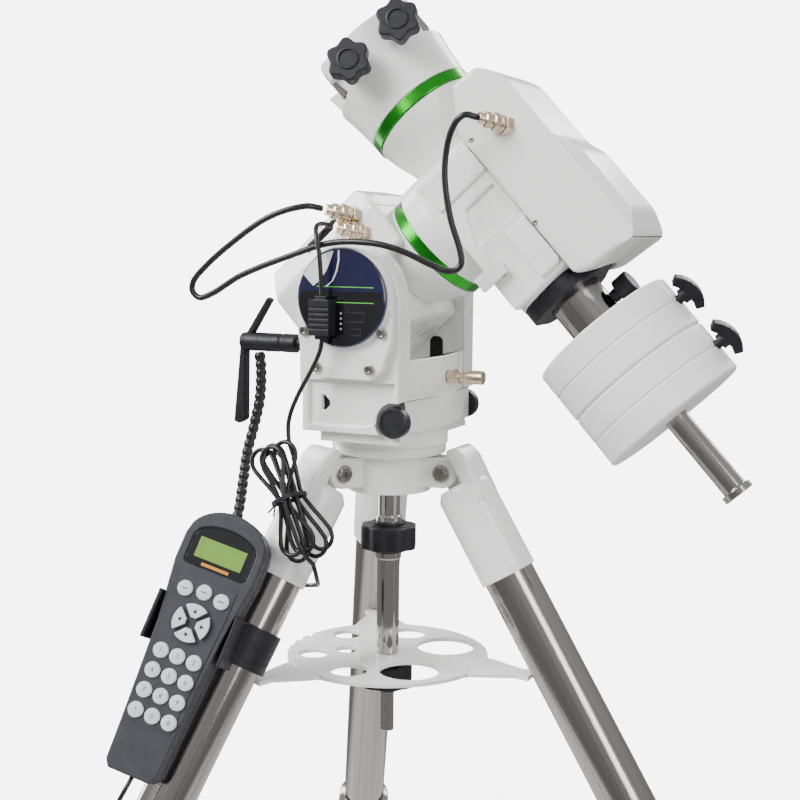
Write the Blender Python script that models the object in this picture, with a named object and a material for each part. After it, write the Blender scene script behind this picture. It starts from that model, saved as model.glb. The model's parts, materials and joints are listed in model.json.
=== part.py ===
"""Motorised equatorial telescope mount on a steel tripod, as separate named pieces.

Units are metres and +Z is up. The origin is on the floor under the middle of the tripod's feet.
MOUNT stands at the top face of the tripod head, on the vertical (azimuth) axis, with +X towards north.
POLAR is at the altitude axis with x along the polar axis, and z square to it, up and away from the weights.
DEC is at the crossing of the polar and declination axes, with z along the declination axis to the saddle.
"""

from math import cos, pi, radians, sin, tan

import bmesh
import bpy
from mathutils import Matrix, Vector
from mathutils.geometry import interpolate_bezier

# Driving dimensions
GAP = 0.0003
HEAD_HEIGHT = 0.720
LATITUDE = radians(42.5)
ALTITUDE_AXIS_Z = 0.1295
DEC_AXIS_S = 0.1247
SADDLE_TURN = radians(20.7)

LEG_TILT = radians(31.0)
LEG_START_RADIUS = 0.0497
LEG_AZIMUTHS = {"north": 0.0, "near": radians(240), "far": radians(120)}
LEG_TUBE_R = 0.02222
LEG_TUBE_WALL = 0.0018
LEG_TUBE_TOP = -0.070
LEG_TUBE_END = -0.575
LOWER_LEG_R = 0.0195
LOWER_LEG_WALL = 0.0015
LOWER_LEG_PLUG = 0.060
LOWER_LEG_TOP = -0.120
FOOT_R = 0.024
FOOT_HEIGHT = 0.030
COLLAR_R = 0.0285
COLLAR_LENGTH = 0.040
SOCKET_R = 0.0247
SOCKET_TOP = -0.045
SOCKET_END = -0.125
HINGE_X = -0.0072
HINGE_Z = -0.0223
EAR_R = 0.013
TONGUE_HALF = 0.0047

HEAD_R = 0.050
HUB_R = 0.037
HUB_HEIGHT = 0.042
PEG_X = 0.040
PEG_R = 0.005
PEG_TOP = 0.036

ROD_R = 0.010
ROD_THREAD_R = 0.006
ROD_END = -0.263
ROD_KNOB_R = 0.0255
TRAY_Z = -0.195
TRAY_THICK = 0.004
TRAY_R = 0.0897
TRAY_ARM_END = 0.1378
TRAY_HOLES = (
    (radians(45), 0.056, 0.026),
    (radians(-45), 0.056, 0.026),
    (radians(97), 0.062, 0.0165),
    (radians(-97), 0.062, 0.0165),
    (radians(150), 0.066, 0.013),
    (radians(-150), 0.066, 0.013),
    (radians(-165), 0.037, 0.010),
)
TRAY_SLOT_ANGLES = (radians(170), radians(180), radians(190))

FLANGE_R = 0.0515
FLANGE_HEIGHT = 0.022
FORK_FLOOR = 0.045
ARM_IN = 0.057
ARM_OUT = 0.080
ARM_TOP_R = 0.044
TRUNNION_R = 0.018
AZIMUTH_KNOB_Z = 0.028
AZIMUTH_KNOB_X = 0.040
AZIMUTH_KNOB_R = 0.013
STOP_SCREW_Z = 0.0604
LEVER_Z = 0.082
LABEL_R = 0.040

HOUSING_HALF = 0.055
HOUSING_REAR = -0.066
HOUSING_TOP = 0.080
RING_R = 0.0495
RING_THICK = 0.010
RA_RING_S = 0.0592
DEC_RING_Z = 0.0868
WHEEL_R = 0.033
DEC_WHEEL_Z = (0.0550, 0.0710)
WORM_R = 0.0065

# Cable plugs: where each one stands on its casting, and the way that all three point
PLUG_R = 0.0065
PLUG_LENGTH = 0.026
PLUG_AIM = (-0.311, -0.778, 0.545)
POLAR_SOCKETS = ((0.038, -0.0545, 0.0550), (0.0353, -0.0545, 0.0380))
DEC_SOCKET = (0.0585, -0.0495, 0.0189)

WEIGHT_R = 0.063
WEIGHT_TOP = (0.1463, 0.1929)
WEIGHT_THICK = 0.0463
CW_SLEEVE_R = 0.023
CW_SHAFT_R = 0.010
CW_END = 0.318

SADDLE_KNOB_SPACING = 0.0508
SADDLE_KNOB_Z = 0.143
STAR_KNOB_R = 0.0185

HANDSET_TILT = radians(4.0)
HANDSET_MIDDLE = 0.215
CABLE_R = 0.0026
LEAD_R = 0.0019
LANYARD_R = 0.0052

WHITE = (0.80, 0.80, 0.78)
GREEN = (0.03, 0.38, 0.05)
STEEL = (0.55, 0.55, 0.56)
BLACK = (0.015, 0.015, 0.017)
BRASS = (0.60, 0.50, 0.30)
GREY = (0.07, 0.07, 0.08)
KEYS = (0.62, 0.64, 0.66)

FOOT_RADIUS = LEG_START_RADIUS + (HEAD_HEIGHT - FOOT_HEIGHT / 2) * tan(LEG_TILT)
MOUNT = Matrix.Translation((-FOOT_RADIUS / 4, 0, HEAD_HEIGHT))
POLAR = MOUNT @ Matrix.Translation((0, 0, ALTITUDE_AXIS_Z)) @ Matrix.Rotation(-LATITUDE, 4, "Y")
DEC = POLAR @ Matrix.Translation((DEC_AXIS_S, 0, 0))
SADDLE = DEC @ Matrix.Rotation(SADDLE_TURN, 4, "Z")

# Turns that lay a lathe's z axis along another axis of its frame
ALONG_X = Matrix.Rotation(pi / 2, 4, "Y")
ALONG_MINUS_X = Matrix.Rotation(-pi / 2, 4, "Y")
ALONG_Y = Matrix.Rotation(-pi / 2, 4, "X")
ALONG_MINUS_Y = Matrix.Rotation(pi / 2, 4, "X")
DOWN = Matrix.Rotation(pi, 4, "X")
# Lays a prism's outline across and up, with its height along the frame's x
FACING = Matrix(((0, 0, 1, 0), (1, 0, 0, 0), (0, 1, 0, 0), (0, 0, 0, 1)))


def move(x, y, z):
    return Matrix.Translation((x, y, z))


def leg_frame(name):
    """Along one leg: x away from it and upward, y across it, z up along it."""
    turn = Matrix.Rotation(LEG_AZIMUTHS[name], 4, "Z")
    return MOUNT @ turn @ move(LEG_START_RADIUS, 0, 0) @ Matrix.Rotation(-LEG_TILT, 4, "Y")


def socket_frame(casting, place):
    """At a cable socket, with z along its plug."""
    return casting @ move(*place) @ Vector(PLUG_AIM).to_track_quat("Z", "Y").to_matrix().to_4x4()


def new_object(name, bm):
    bmesh.ops.recalc_face_normals(bm, faces=bm.faces)
    mesh = bpy.data.meshes.new(name)
    bm.to_mesh(mesh)
    bm.free()
    made = bpy.data.objects.new(name, mesh)
    bpy.context.scene.collection.objects.link(made)
    return made


def turned(profile, frame, steps=24, ring=False):
    """A body turned about the frame's z axis from (radius, z) points; a ring's profile closes on itself."""
    bm = bmesh.new()
    loops = []
    for radius, z in profile:
        if radius == 0:
            loops.append([bm.verts.new(frame @ Vector((0, 0, z)))] * steps)
            continue
        corners = []
        for i in range(steps):
            angle = 2 * pi * i / steps
            corners.append(bm.verts.new(frame @ Vector((radius * cos(angle), radius * sin(angle), z))))
        loops.append(corners)
    pairs = list(zip(loops, loops[1:]))
    if ring:
        pairs.append((loops[-1], loops[0]))
    for low, high in pairs:
        for i in range(steps):
            j = (i + 1) % steps
            corners = []
            for vert in (low[i], low[j], high[j], high[i]):
                if vert not in corners:
                    corners.append(vert)
            if len(corners) > 2:
                bm.faces.new(corners)
    return bm


def rod(radius, low, high, frame, steps=20):
    return turned([(0, low), (radius, low), (radius, high), (0, high)], frame, steps)


def prism(outline, low, high, frame):
    """An outline in the frame's x and y, extruded from z = low to z = high."""
    bm = bmesh.new()
    ends = []
    for z in (low, high):
        ends.append([bm.verts.new(frame @ Vector((x, y, z))) for x, y in outline])
    bm.faces.new(ends[0])
    bm.faces.new(ends[1])
    for i in range(len(outline)):
        j = (i + 1) % len(outline)
        bm.faces.new((ends[0][i], ends[0][j], ends[1][j], ends[1][i]))
    return bm


def side_prism(outline, low, high, frame):
    """An outline in the frame's x and z, extruded from y = low to y = high."""
    return prism([(x, -z) for x, z in outline], low, high, frame @ ALONG_Y)


def block(x, y, z, frame):
    corners = ((x[0], y[0]), (x[1], y[0]), (x[1], y[1]), (x[0], y[1]))
    return prism(corners, z[0], z[1], frame)


def arc(cx, cy, radius, start, end, count):
    """Points on an arc from start to end, in degrees."""
    points = []
    for i in range(count + 1):
        angle = radians(start + (end - start) * i / count)
        points.append((cx + radius * cos(angle), cy + radius * sin(angle)))
    return points


def lobed(radius, depth, lobes, steps):
    points = []
    for i in range(steps):
        angle = 2 * pi * i / steps
        reach = radius - depth * (0.5 - 0.5 * cos(lobes * angle))
        points.append((reach * cos(angle), reach * sin(angle)))
    return points


def joined(shapes):
    """Several separate shapes in one mesh, for one Boolean."""
    whole = bmesh.new()
    for bm in shapes:
        bmesh.ops.recalc_face_normals(bm, faces=bm.faces)
        mesh = bpy.data.meshes.new("shape")
        bm.to_mesh(mesh)
        bm.free()
        whole.from_mesh(mesh)
        bpy.data.meshes.remove(mesh)
    return whole


def helper(name, bm):
    made = new_object(name, bm)
    made.hide_render = True
    made.display_type = "WIRE"
    return made


def material(name, colour, roughness, metallic):
    made = bpy.data.materials.new(name)
    made.use_nodes = True
    shader = made.node_tree.nodes["Principled BSDF"]
    shader.inputs["Base Color"].default_value = (*colour, 1)
    shader.inputs["Roughness"].default_value = roughness
    shader.inputs["Metallic"].default_value = metallic
    made.diffuse_color = (*colour, 1)
    return made


def piece(name, bm, colour, add=(), cut=(), pivot=None, roughness=0.4, metallic=0.0):
    """A named sub-part whose origin is its joint's pivot, a frame; add and cut are shapes for Booleans."""
    made = new_object(name, bm)
    for operation, shapes in (("UNION", add), ("DIFFERENCE", cut)):
        for index, shape in enumerate(shapes):
            modifier = made.modifiers.new(f"{operation}_{index}", "BOOLEAN")
            modifier.operation = operation
            modifier.solver = "EXACT"
            modifier.object = helper(f"{name}_{operation.lower()}_{index}", shape)
    made.data.materials.append(material(name, colour, roughness, metallic))
    if pivot is not None:
        made.data.transform(pivot.inverted())
        made.matrix_world = pivot
    made.data.shade_smooth()
    made.data.set_sharp_from_angle(angle=radians(35))
    return made


def smooth_route(points, count):
    """Even points on one smooth curve through the route's own points."""
    dense = []
    for i in range(len(points) - 1):
        before = points[max(i - 1, 0)]
        after = points[min(i + 2, len(points) - 1)]
        start, end = points[i], points[i + 1]
        span = (end - start).length
        first = (end - before).normalized() * span / 3
        last = (after - start).normalized() * span / 3
        dense.extend(interpolate_bezier(start, start + first, end - last, end, 12)[:-1])
    dense.append(points[-1])
    reach = [0.0]
    for a, b in zip(dense, dense[1:]):
        reach.append(reach[-1] + (b - a).length)
    even = []
    k = 0
    for i in range(count):
        wanted = reach[-1] * i / (count - 1)
        while k < len(dense) - 2 and reach[k + 1] < wanted:
            k += 1
        share = (wanted - reach[k]) / (reach[k + 1] - reach[k])
        even.append(dense[k].lerp(dense[k + 1], share))
    return even


def cable(name, route, radius, count, resolution=2):
    """A tube along a route of (x, y, z) points in MOUNT."""
    points = smooth_route([MOUNT @ Vector(p) for p in route], count)
    curve = bpy.data.curves.new(name, "CURVE")
    curve.dimensions = "3D"
    curve.bevel_depth = radius
    curve.bevel_resolution = resolution
    curve.use_fill_caps = True
    spline = curve.splines.new("POLY")
    spline.points.add(count - 1)
    for point, place in zip(spline.points, points):
        point.co = (*place, 1)
    curve.materials.append(material(name, BLACK, 0.5, 0.0))
    made = bpy.data.objects.new(name, curve)
    bpy.context.scene.collection.objects.link(made)
    return made


def build_tripod_head():
    body = turned([(0, -HUB_HEIGHT), (HUB_R, -HUB_HEIGHT), (HUB_R, -0.010), (HEAD_R, -0.008),
                   (HEAD_R, 0), (0, 0)], MOUNT, 28)
    ears = []
    bolts = []
    for azimuth in LEG_AZIMUTHS.values():
        frame = MOUNT @ Matrix.Rotation(azimuth, 4, "Z") @ move(LEG_START_RADIUS, 0, 0)
        hinge = Matrix.Rotation(-LEG_TILT, 4, "Y") @ Vector((HINGE_X, 0, HINGE_Z))
        x, z = hinge.x, hinge.z
        outline = [(-0.020, z - EAR_R)] + arc(x, z, EAR_R, -90, 90, 6) + [(-0.020, z + EAR_R)]
        for low, high in ((-0.012, -0.005), (0.005, 0.012)):
            ears.append(side_prism(outline, low, high, frame))
        shank = [(0, -0.0165), (0.0065, -0.0165), (0.0065, -0.0115), (0.0035, -0.0115),
                 (0.0035, 0.0115), (0.0065, 0.0115), (0.0065, 0.0165), (0, 0.0165)]
        bolts.append(turned(shank, frame @ move(x, 0, z) @ ALONG_Y, 6))
    peg = rod(PEG_R, -0.004, PEG_TOP, MOUNT @ move(PEG_X, 0, 0), 10)
    bore = rod(ROD_THREAD_R + 0.0004, -HUB_HEIGHT - 0.01, 0.01, MOUNT, 12)
    piece("tripod_head", body, WHITE, [joined(ears), joined(bolts), peg], [bore])


def build_rod_and_tray():
    profile = [(0, ROD_END), (ROD_THREAD_R, ROD_END), (ROD_THREAD_R, TRAY_Z + TRAY_THICK + GAP),
               (ROD_R, TRAY_Z + TRAY_THICK + GAP), (ROD_R, -0.1045), (0.0115, -0.1045), (0.0115, -0.097),
               (ROD_KNOB_R - 0.002, -0.097), (ROD_KNOB_R, -0.094), (ROD_KNOB_R, -0.076),
               (ROD_KNOB_R - 0.002, -0.073), (0.0115, -0.073), (0.0115, -0.066), (ROD_R, -0.066),
               (ROD_R, -HUB_HEIGHT - GAP), (ROD_THREAD_R, -HUB_HEIGHT - GAP), (ROD_THREAD_R, 0.018),
               (0, 0.018)]
    piece("mount_rod", turned(profile, MOUNT, 14), STEEL, pivot=MOUNT @ move(0, 0, -0.085), metallic=1.0)

    top = TRAY_Z + TRAY_THICK
    disc = rod(TRAY_R, TRAY_Z, top, MOUNT, 36)
    arms = []
    for azimuth in LEG_AZIMUTHS.values():
        frame = MOUNT @ Matrix.Rotation(azimuth, 4, "Z")
        outline = [(0.060, -0.030), (0.095, -0.022), (0.125, -0.009), (TRAY_ARM_END, -0.012),
                   (TRAY_ARM_END, 0.012), (0.125, 0.009), (0.095, 0.022), (0.060, 0.030)]
        arms.append(prism(outline, TRAY_Z + 0.0001, top - 0.0001, frame))
    holes = []
    for azimuth, radius, hole in TRAY_HOLES:
        frame = MOUNT @ Matrix.Rotation(azimuth, 4, "Z") @ move(radius, 0, 0)
        holes.append(rod(hole, TRAY_Z - 0.01, top + 0.01, frame, 12))
    holes.append(rod(ROD_THREAD_R + 0.0004, TRAY_Z - 0.01, top + 0.01, MOUNT, 24))
    for azimuth in TRAY_SLOT_ANGLES:
        frame = MOUNT @ Matrix.Rotation(azimuth, 4, "Z")
        holes.append(block((0.076, 0.100), (-0.0035, 0.0035), (TRAY_Z - 0.01, top + 0.01), frame))
    pivot = MOUNT @ move(0, 0, TRAY_Z)
    piece("tray", disc, WHITE, [joined(arms)], [joined(holes)], pivot)

    knob_top = TRAY_Z - GAP
    knob = prism(lobed(0.0235, 0.003, 6, 36), knob_top - 0.026, knob_top - 0.006, MOUNT)
    hub = rod(0.011, knob_top - 0.024, knob_top, MOUNT, 24)
    bore = rod(ROD_THREAD_R + 0.0004, knob_top - 0.05, knob_top + 0.01, MOUNT, 24)
    piece("tray_knob", knob, BLACK, [hub], [bore], MOUNT @ move(0, 0, knob_top))


def build_leg(name):
    frame = leg_frame(name)
    hinge = frame @ move(HINGE_X, 0, HINGE_Z)
    barrel = turned([(0, SOCKET_END), (SOCKET_R, SOCKET_END), (SOCKET_R, SOCKET_TOP), (0.020, -0.038),
                     (0, -0.038)], frame, 20)
    shoulder = side_prism([(0.0068, -0.060), (0.0205, -0.060), (0.0225, -0.020), (0.0185, -0.009),
                           (0.0068, -0.007)], -0.0185, 0.0185, frame)
    outline = [(0.010, -0.060), (0.010, HINGE_Z + 0.008)]
    outline += arc(HINGE_X, HINGE_Z, 0.0125, 60, 250, 7)
    outline += [(-0.012, -0.060)]
    tongue = side_prism(outline, -TONGUE_HALF, TONGUE_HALF, frame)
    pin_hole = rod(0.0039, -0.03, 0.03, hinge @ ALONG_Y, 16)
    tube_hole = rod(LEG_TUBE_R + GAP, SOCKET_END - 0.01, LEG_TUBE_TOP + GAP, frame, 20)
    piece(f"leg_socket_{name}", barrel, WHITE, [shoulder, tongue], [tube_hole, pin_hole], hinge)

    inner = LEG_TUBE_R - LEG_TUBE_WALL
    collar_top = LEG_TUBE_END + COLLAR_LENGTH
    tube = turned([(inner, LEG_TUBE_END), (COLLAR_R, LEG_TUBE_END), (COLLAR_R, collar_top - 0.004),
                   (LEG_TUBE_R, collar_top), (LEG_TUBE_R, LEG_TUBE_TOP), (inner, LEG_TUBE_TOP)], frame, 20,
                   ring=True)
    stud = frame @ move(0, 0, LEG_TUBE_END + COLLAR_LENGTH / 2) @ ALONG_X
    stud_hole = rod(0.0039, LOWER_LEG_R + 0.0005, COLLAR_R + 0.02, stud, 8)
    piece(f"leg_tube_{name}", tube, STEEL, cut=[stud_hole], metallic=1.0)

    knob = turned([(0, LEG_TUBE_R), (0.0035, LEG_TUBE_R), (0.0035, COLLAR_R + 0.003),
                   (0.007, COLLAR_R + 0.003),
                   (0.009, COLLAR_R + 0.010), (0.015, COLLAR_R + 0.012), (0.015, COLLAR_R + 0.020),
                   (0, COLLAR_R + 0.022)], stud, 12)
    piece(f"leg_lock_knob_{name}", knob, BLACK, pivot=stud)

    foot = MOUNT @ Matrix.Rotation(LEG_AZIMUTHS[name], 4, "Z") @ move(FOOT_RADIUS, 0, -HEAD_HEIGHT)
    foot_end = -(HEAD_HEIGHT - FOOT_HEIGHT / 2) / cos(LEG_TILT)
    bore = LOWER_LEG_R - LOWER_LEG_WALL
    plug_top = foot_end + LOWER_LEG_PLUG
    lower = turned([(0, foot_end), (LOWER_LEG_R, foot_end), (LOWER_LEG_R, LOWER_LEG_TOP),
                    (bore, LOWER_LEG_TOP),
                    (bore, plug_top), (0, plug_top)], frame, 16)
    rubber = turned([(0, 0), (FOOT_R, 0), (FOOT_R, 0.010), (0.022, FOOT_HEIGHT - 0.002),
                     (0.022, FOOT_HEIGHT + 0.010),
                     (0, FOOT_HEIGHT + 0.012)], foot, 16)
    piece(f"lower_leg_{name}", lower, STEEL, [rubber], pivot=frame, metallic=1.0)


def build_azimuth_base():
    flange = rod(FLANGE_R, GAP, FLANGE_HEIGHT, MOUNT, 28)
    floor = prism([(-0.043, -0.080), (0.046, -0.080), (0.0465, -0.057), (0.056, 0), (0.0465, 0.057),
                   (0.046, 0.080), (-0.043, 0.080)], 0.017, FORK_FLOOR, MOUNT)
    skirt = block((-0.030, 0.043), (-0.072, 0.072), (0.008, 0.020), MOUNT)
    arms = []
    outline = [(0.046, 0.044), (0.046, ALTITUDE_AXIS_Z)]
    outline += arc(0, ALTITUDE_AXIS_Z, ARM_TOP_R, 8, 172, 16)
    outline += [(-0.046, ALTITUDE_AXIS_Z), (-0.046, 0.060), (-0.043, 0.044)]
    for low, high in ((-ARM_OUT, -ARM_IN), (ARM_IN, ARM_OUT)):
        arms.append(side_prism(outline, low, high, MOUNT))
    prow = prism([(0.0455, -0.0575), (0.0557, 0), (0.0455, 0.0575), (0.0400, 0.0575), (0.0500, 0),
                  (0.0400, -0.0575)],
                 0.040, 0.078, MOUNT)
    rear = side_prism([(-0.040, 0.030), (-0.076, 0.066), (-0.076, 0.0905), (-0.068, 0.0905),
                       (-0.060, 0.078),
                       (-0.052, 0.070), (-0.040, 0.0440)], -0.012, 0.012, MOUNT)
    trunnion_hole = rod(TRUNNION_R + GAP, -0.1, 0.1, MOUNT @ move(0, 0, ALTITUDE_AXIS_Z) @ ALONG_Y, 24)
    peg_hole = block((PEG_X - 0.008, PEG_X + 0.008), (-0.0115, 0.0115), (-0.01, PEG_TOP + 0.003), MOUNT)
    bolt_hole = rod(0.0043, -0.1, 0.1, MOUNT @ move(AZIMUTH_KNOB_X, 0, AZIMUTH_KNOB_Z) @ ALONG_Y, 16)
    recesses = []
    for side in (-1, 1):
        outline = arc(AZIMUTH_KNOB_X, AZIMUTH_KNOB_Z, 0.016, 90, 270, 8)
        outline += [(0.065, AZIMUTH_KNOB_Z - 0.016), (0.065, AZIMUTH_KNOB_Z + 0.016)]
        low, high = sorted((side * 0.0702, side * 0.095))
        recesses.append(side_prism(outline, low, high, MOUNT))
    rod_hole = rod(ROD_THREAD_R + 0.0004, -0.01, 0.021, MOUNT, 24)
    stop_hole = rod(0.0043, 0.035, 0.070, MOUNT @ move(0, 0, STOP_SCREW_Z) @ ALONG_X, 16)
    lever_hole = rod(0.0053, 0.050, 0.090, MOUNT @ move(0, 0, LEVER_Z) @ ALONG_MINUS_X, 16)
    piece("azimuth_base", flange, WHITE, [floor, skirt, joined(arms), prow, rear],
          [trunnion_hole, peg_hole, bolt_hole, joined(recesses), rod_hole, joined([stop_hole, lever_hole])],
          MOUNT)


def build_fork_cover():
    face = -ARM_OUT - GAP
    outline = [(-0.022, 0.0624), (0.024, 0.0624), (0.034, 0.071), (0.043, 0.096), (0.043, 0.115)]
    outline += arc(0, ALTITUDE_AXIS_Z, 0.042, -10, 190, 16)
    outline += [(-0.043, 0.115), (-0.043, 0.096), (-0.034, 0.071)]
    plate = side_prism(outline, face - 0.0075, face, MOUNT)
    disc = MOUNT @ move(0, 0, ALTITUDE_AXIS_Z) @ ALONG_MINUS_Y
    label = turned([(0, 0.084), (LABEL_R, 0.084), (LABEL_R, 0.0935), (LABEL_R - 0.001, 0.0942),
                    (0, 0.0942)], disc, 36)
    piece("fork_cover", plate, WHITE, [label])


def build_azimuth_knobs():
    for name, side in (("near", -1), ("far", 1)):
        turn = ALONG_Y if side > 0 else ALONG_MINUS_Y
        frame = MOUNT @ move(AZIMUTH_KNOB_X, 0, AZIMUTH_KNOB_Z) @ turn
        profile = [(0, 0.0098), (0.004, 0.0098), (0.004, 0.0706), (AZIMUTH_KNOB_R, 0.0706),
                   (AZIMUTH_KNOB_R, 0.0785), (AZIMUTH_KNOB_R - 0.0015, 0.0800), (0, 0.0800)]
        piece(f"azimuth_knob_{name}", turned(profile, frame, 16), BLACK, pivot=frame)


def build_altitude_controls():
    frame = MOUNT @ move(0, 0, STOP_SCREW_Z) @ ALONG_X
    profile = [(0, 0.048), (0.004, 0.048), (0.004, 0.0563), (0.0062, 0.0563), (0.0062, 0.067),
               (0.004, 0.067),
               (0.004, 0.0746), (0.006, 0.0746), (0.006, 0.088), (0, 0.088)]
    piece("altitude_stop_screw", turned(profile, frame, 14), BRASS, pivot=frame, metallic=1.0)

    hub_frame = MOUNT @ move(0, 0, LEVER_Z) @ ALONG_MINUS_X
    hub = turned([(0, 0.061), (0.005, 0.061), (0.005, 0.092), (0.0085, 0.092), (0.0085, 0.106),
                  (0.0075, 0.108),
                  (0.0085, 0.110), (0.0085, 0.146), (0.0065, 0.150), (0, 0.150)], hub_frame, 14)
    blade = side_prism([(-0.1445, 0.082), (-0.1455, 0.010), (-0.152, 0.006), (-0.157, 0.008),
                        (-0.1495, 0.082)],
                       -0.0045, 0.0045, MOUNT)
    finger = side_prism([(-0.1490, 0.082), (-0.1410, 0.084), (-0.1180, 0.121), (-0.1220, 0.123)],
                        -0.0040, 0.0040, MOUNT)
    piece("altitude_lever", hub, BLACK, [blade, finger], pivot=hub_frame)


def build_polar_housing():
    half = HOUSING_HALF
    lower = side_prism([(HOUSING_REAR, -0.005), (-0.040, -0.040), (0.018, -0.040), (0.024, -0.026),
                        (0.024, 0.030),
                        (HOUSING_REAR, 0.030)], 0.0004 - half, half - 0.0004, POLAR)
    upper = prism([(-half, 0.010), (-half, 0.052), (-0.028, HOUSING_TOP), (0.028, HOUSING_TOP),
                   (half, 0.052),
                   (half, 0.010)], HOUSING_REAR - 0.0004, 0.0576,
                  POLAR @ FACING)
    cone = turned([(0, 0.010), (0.028, 0.010), (0.028, 0.022), (0.035, 0.029), (0.041, 0.040),
                   (RING_R, 0.058),
                   (RING_R, 0.059), (0, 0.059)], POLAR @ ALONG_X, 28)
    trunnion = rod(TRUNNION_R, -0.0745, 0.0745, POLAR @ ALONG_Y, 24)
    chamfer = side_prism([(0.0420, 0.095), (0.0430, HOUSING_TOP), (0.0570, 0.0620), (0.0570, 0.0500),
                          (0.0900, 0.0500), (0.0900, 0.0950)], -0.070, 0.070, POLAR)
    room = WHEEL_R + 0.0015
    bore = turned([(0, -0.012), (room, -0.012), (room, 0.0095), (0.0213, 0.0095), (0.0213, 0.075),
                   (0, 0.075)],
                  POLAR @ ALONG_X)
    motor_room = block((-0.019, 0.0185), (-0.044, 0.044), (0.0280, 0.0735), POLAR)
    plugs = [rod(PLUG_R, -0.004, PLUG_LENGTH, socket_frame(POLAR, place), 12) for place in POLAR_SOCKETS]
    piece("polar_housing", lower, WHITE, [upper, cone, trunnion, joined(plugs)],
          [chamfer, bore, motor_room],
          POLAR)

    ring = turned([(0.0225, 0), (RING_R, 0), (RING_R, RING_THICK), (0.0225, RING_THICK)],
                  POLAR @ move(RA_RING_S + GAP, 0, 0) @ ALONG_X,
                  30, ring=True)
    piece("ra_ring", ring, GREEN, metallic=0.8)

    worm_frame = POLAR @ move(-0.0015, 0, WHEEL_R + WORM_R + GAP) @ ALONG_Y
    piece("ra_worm", rod(WORM_R, -0.040, 0.040, worm_frame, 12), BRASS, pivot=worm_frame, metallic=1.0)
    motor = turned([(0, -0.032), (0.0125, -0.032), (0.0125, 0.030), (0, 0.030)],
                   POLAR @ move(-0.001, 0, 0.0598) @ ALONG_Y, 16)
    piece("ra_motor", motor, STEEL, metallic=1.0)


def dec_neck(grow):
    """The turned casting about the declination axis; the motor cover is cut to clear it."""
    return turned([(0, -0.097 - grow), (0.040 + grow, -0.097 - grow), (0.044 + grow, -0.050),
                   (0.038 + grow, -0.036),
                   (0.038 + grow, 0.052), (0.044 + grow, 0.069), (0.0485 + grow, 0.0865 + grow),
                   (0, 0.0865 + grow)], DEC, 28)


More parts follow.
